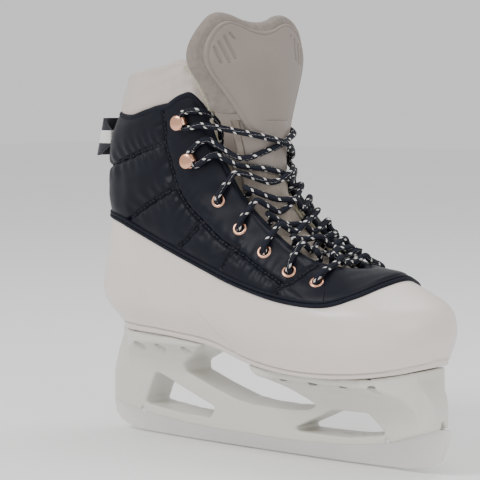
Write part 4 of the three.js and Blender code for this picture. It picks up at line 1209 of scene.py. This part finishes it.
def lace_half(side, over):
    points = []
    top = len(RIGHT_SPOTS) - 1
    for k in range(top):
        way = (LOWEST_EYELET if k == 0 else UNDER_FACING + THROUGH_EYELET + OVER_EDGE
               if k < len(EYELETS) else ROUND_HOOK)
        points += [spot_point(k, side, *step) for step in way]
        points += strand(k, side, over)
        side = -side
    points += [spot_point(top, side, *step) for step in ROUND_HOOK[:-1] + TUCKED_END]
    return points


lowest = [tongue_point(np.float64(0.12), np.float64(y), np.float64(REST + 0.6))
          for y in (-5, 0, 5)]
lace_points = lace_half(-1, True)[::-1] + lowest + lace_half(1, False)
lace_path = catmull_path(lace_points, 0.9)
print("lace", round(0.9 * len(lace_path)), "mm long")

# %% [markdown]
# A woven lace is a tube of crossing strands, dark with a pale pair of picks every
# centimetre. The tube's own u runs along the lace in millimetres and v goes once round it,
# so both the braid and the pale flecks are sums of sine waves in u and v.

# %% The lace's finish and mesh
def lace_finish():
    material = bpy.data.materials.new("woven_lace")
    material.use_nodes = True
    tree = material.node_tree
    shader = tree.nodes["Principled BSDF"]
    shader.inputs["Roughness"].default_value = 0.75
    shader.inputs["Specular IOR Level"].default_value = 0.18
    uv = tree.nodes.new("ShaderNodeUVMap")
    uv.uv_map = "surface"
    parts = tree.nodes.new("ShaderNodeSeparateXYZ")
    tree.links.new(uv.outputs["UV"], parts.inputs[0])
    u, v = parts.outputs["X"], parts.outputs["Y"]

    def wave(along, round_count):
        total = math_node(tree, "ADD", math_node(tree, "MULTIPLY", u, 2 * math.pi / along),
                          math_node(tree, "MULTIPLY", v, 2 * math.pi * round_count))
        return math_node(tree, "SINE", total)

    braid = math_node(tree, "MULTIPLY", wave(2.4, 4), wave(2.4, -4))
    relief = tree.nodes.new("ShaderNodeBump")
    relief.inputs["Strength"].default_value = 0.6
    relief.inputs["Distance"].default_value = 0.0004
    tree.links.new(braid, relief.inputs["Height"])
    tree.links.new(relief.outputs["Normal"], shader.inputs["Normal"])
    pair = math_node(tree, "GREATER_THAN", wave(10.0, 1), 0.86)
    sides = math_node(tree, "GREATER_THAN",
                      math_node(tree, "SINE", math_node(tree, "MULTIPLY", v, 8 * math.pi)), -0.1)
    fleck = math_node(tree, "MULTIPLY", pair, sides)
    # The braid's bump height also sets the lace colour: darker in the grooves and lighter on the
    # crests, which is painted shade in the braid.
    dark = mixed_colour(tree, math_node(tree, "MULTIPLY_ADD", braid, 0.5),
                        (0.008, 0.009, 0.016), (0.016, 0.018, 0.028))
    tree.links.new(mixed_colour(tree, fleck, dark, (0.78, 0.76, 0.72)),
                   shader.inputs["Base Color"])
    return material


lace = tube_piece("lace_look", lace_path, 2.0, lace_finish(), sides=14)
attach(lace, "skate")
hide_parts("lace")
print(lace.name, len(lace.data.polygons), "faces")

# %% [markdown]
# ## The pull loop
# A loop of webbing sewn behind the heel. Its stripes follow the height of the band, which
# the mesh keeps in its v coordinate.

# %% Making the pull loop
LOOP_REACH, LOOP_HALF_WIDTH, LOOP_HALF_HEIGHT = 17, 12, 13
LOOP_HEIGHT = 205  # of the loop's middle above the floor


def loop_rows(inset, heights, turns):
    rows = []
    for h in heights:
        reach = np.sin(turns) ** 0.6
        height = h * (4 + (LOOP_HALF_HEIGHT - 4) * np.minimum(1, reach * 1.4))
        x = -130.6 - (LOOP_REACH - inset) * reach + 0.3 * height * reach
        y = (LOOP_HALF_WIDTH - inset) * np.cos(turns)
        rows.append(np.stack([x, y, LOOP_HEIGHT + height], -1))
    return np.array(rows)


def stripe_finish():
    material = finish("striped_webbing", (0.8, 0.79, 0.77), (0.7, 0.69, 0.67), 0.75, weave=0.9,
                      bump=0.5, sheen=0.2)
    tree = material.node_tree
    shader = tree.nodes["Principled BSDF"]
    uv = tree.nodes.new("ShaderNodeUVMap")
    uv.uv_map = "surface"
    parts = tree.nodes.new("ShaderNodeSeparateXYZ")
    tree.links.new(uv.outputs["UV"], parts.inputs[0])
    middle = math_node(tree, "ABSOLUTE", parts.outputs["Y"])
    band = math_node(tree, "GREATER_THAN", middle, 4.4)
    cream = shader.inputs["Base Color"].links[0].from_socket
    tree.links.new(mixed_colour(tree, band, cream, (0.011, 0.012, 0.021)),
                   shader.inputs["Base Color"])
    return material


loop_turns = np.linspace(math.pi - 0.001, 0.001, 121)
loop_heights = np.linspace(-1, 1, 41)
outer_loop = loop_rows(0, loop_heights, loop_turns)
inner_loop = loop_rows(1.8, loop_heights[::-1], loop_turns)
loop = strip_piece("pull_loop_look", np.concatenate([outer_loop, inner_loop]), stripe_finish(),
                   zipped=True)
print("loop points", len(loop.data.vertices))
loop_corner = np.zeros(len(loop.data.loops), int)
loop.data.loops.foreach_get("vertex_index", loop_corner)
loop_place = np.zeros(3 * len(loop.data.vertices))
loop.data.vertices.foreach_get("co", loop_place)
loop_place = loop_place.reshape(-1, 3)[loop_corner] / MM
loop_uv = np.stack([loop_place[:, 1], loop_place[:, 2] - LOOP_HEIGHT], -1)
loop.data.uv_layers["surface"].data.foreach_set("uv", loop_uv.ravel())
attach(loop, "loop")
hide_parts("pull_loop")

# %% [markdown]
# ## The blade holder and the runner
# The holder's shape is already right, but a moulding has soft, rounded corners. A voxel
# remesh of a copy, smoothed a little, rounds every edge alike. The steel runner only needs
# a small bevel that catches the light.

# %% Rounding the holder and bevelling the runner
def merged_copy(node, name):
    source = bpy.data.objects[node]
    work = bmesh.new()
    work.from_mesh(source.data)
    bmesh.ops.remove_doubles(work, verts=work.verts, dist=1e-6)
    mesh = bpy.data.meshes.new(name)
    work.to_mesh(mesh)
    work.free()
    mesh.materials.clear()
    thing = bpy.data.objects.new(name, mesh)
    SCENE.collection.objects.link(thing)
    return thing


def applied(thing):
    """Replaces a mesh by its evaluated form and drops the modifiers."""
    graph = bpy.context.evaluated_depsgraph_get()
    mesh = bpy.data.meshes.new_from_object(thing.evaluated_get(graph))
    thing.modifiers.clear()
    thing.data = mesh
    return thing


holder = merged_copy("holder", "holder_look")
voxels = holder.modifiers.new("round", "REMESH")
voxels.mode = "VOXEL"
voxels.voxel_size = 0.00115
smoother = holder.modifiers.new("soften", "SMOOTH")
smoother.factor = 0.5
smoother.iterations = 7
applied(holder)
holder.data.materials.append(HOLDER_PLASTIC)
holder.data.polygons.foreach_set("use_smooth", [True] * len(holder.data.polygons))
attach(holder, "skate")
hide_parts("holder")

runner = merged_copy("runner", "runner_look")
bevel = runner.modifiers.new("edge", "BEVEL")
bevel.width = 0.0004
bevel.segments = 2
bevel.limit_method = "ANGLE"
applied(runner)
runner.data.materials.append(RUNNER_STEEL)
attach(runner, "skate")
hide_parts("runner")
print(len(holder.data.polygons), "and", len(runner.data.polygons), "faces")

# %% Finishes of the pieces that keep their CAD shape
KEPT = {"rivet_": RIVET_STEEL, "pin_": RUNNER_STEEL, "midsole_board": SOLE_PLASTIC}
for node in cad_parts:
    for start, material in KEPT.items():
        if node.startswith(start):
            for place in bpy.data.objects[node].material_slots:
                place.material = material
print("kept nodes finished")

# %% [markdown]
# ## Stitches
# A stitch is a short bead of thread, sunk in the cloth. Geometry Nodes set one at every step
# along a seam: the line is resampled, and a stretched ball is put on each point and turned
# along the line.

# %% The stitch tree
def stitch_tree():
    tree = bpy.data.node_groups.new("stitches", "GeometryNodeTree")
    tree.interface.new_socket(name="Line", in_out="INPUT", socket_type="NodeSocketGeometry")
    for label, value in (("Pitch", 0.003), ("Length", 0.0021), ("Thread", 0.00042)):
        socket = tree.interface.new_socket(name=label, in_out="INPUT",
                                           socket_type="NodeSocketFloat")
        socket.default_value = value
    tree.interface.new_socket(name="Material", in_out="INPUT", socket_type="NodeSocketMaterial")
    tree.interface.new_socket(name="Stitches", in_out="OUTPUT", socket_type="NodeSocketGeometry")
    nodes, link = tree.nodes, tree.links.new
    start, end = nodes.new("NodeGroupInput"), nodes.new("NodeGroupOutput")
    curve = nodes.new("GeometryNodeMeshToCurve")
    link(start.outputs["Line"], curve.inputs["Mesh"])
    even = nodes.new("GeometryNodeResampleCurve")
    even.mode = "LENGTH"
    link(curve.outputs[0], even.inputs["Curve"])
    link(start.outputs["Pitch"], even.inputs["Length"])
    tangent = nodes.new("GeometryNodeInputTangent")
    turn = nodes.new("FunctionNodeAlignRotationToVector")
    turn.axis = "Z"
    link(tangent.outputs[0], turn.inputs["Vector"])
    ball = nodes.new("GeometryNodeMeshUVSphere")
    ball.inputs["Segments"].default_value = 8
    ball.inputs["Rings"].default_value = 6
    link(start.outputs["Thread"], ball.inputs["Radius"])
    ratio = nodes.new("ShaderNodeMath")
    ratio.operation = "DIVIDE"
    link(start.outputs["Length"], ratio.inputs[0])
    double = nodes.new("ShaderNodeMath")
    double.operation = "MULTIPLY"
    double.inputs[1].default_value = 2
    link(start.outputs["Thread"], double.inputs[0])
    link(double.outputs[0], ratio.inputs[1])
    size = nodes.new("ShaderNodeCombineXYZ")
    size.inputs["X"].default_value = 1
    size.inputs["Y"].default_value = 1
    link(ratio.outputs[0], size.inputs["Z"])
    place = nodes.new("GeometryNodeInstanceOnPoints")
    link(even.outputs[0], place.inputs["Points"])
    link(ball.outputs["Mesh"], place.inputs["Instance"])
    link(turn.outputs[0], place.inputs["Rotation"])
    link(size.outputs[0], place.inputs["Scale"])
    real = nodes.new("GeometryNodeRealizeInstances")
    link(place.outputs[0], real.inputs[0])
    finish_node = nodes.new("GeometryNodeSetMaterial")
    link(real.outputs[0], finish_node.inputs["Geometry"])
    link(start.outputs["Material"], finish_node.inputs["Material"])
    link(finish_node.outputs[0], end.inputs[0])
    return tree


STITCHES = stitch_tree()


def stitched(name, path, material, body, slot_name, **sizes):
    placed = (np.asarray(path) + [CENTRE_X, 0, 0]) * MM
    mesh = bpy.data.meshes.new(name)
    mesh.from_pydata(placed.tolist(), [(i, i + 1) for i in range(len(placed) - 1)], [])
    thing = bpy.data.objects.new(name, mesh)
    SCENE.collection.objects.link(thing)
    row = thing.modifiers.new("stitches", "NODES")
    row.node_group = STITCHES
    sockets = {item.name: item.identifier for item in STITCHES.interface.items_tree}
    row[sockets["Material"]] = material
    for label, value in sizes.items():
        row[sockets[label]] = value
    applied(thing)
    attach(thing, body)
    return thing


# %% Stitches along the seams
def seam_on_boot(line, side, out):
    path = []
    for x, z in catmull_path([(x, 0, z) for x, z in line], 3.0)[:, [0, 2]]:
        error = (fine_points[..., 0] - x) ** 2 + (fine_points[..., 2] - z) ** 2
        i, j = np.unravel_index(error.argmin(), error.shape)
        if error[i, j] > 4:
            continue
        p = fine_points[i, j] + boot_normal(fine_s[i, j], fine_t[i, j]) * out
        path.append(p if side < 0 else p * FLIP)
    return catmull_path(path, 1.5)


SEAM_NAMES = ["facing", "counter", "ankle", "arch", "ball", "vamp_side"]
for side, word in ((-1, "right"), (1, "left")):
    for label, line in zip(SEAM_NAMES, SEAMS):
        stitched(f"stitches_{label}_{word}", seam_on_boot(line, side, -0.9), THREAD_DARK,
                 "skate", "navy")
    stitched(f"stitches_piping_{word}", piping_path(side, 1.7), THREAD_PALE, "skate", "gusset",
             Pitch=0.0034)
print("stitches sewn")
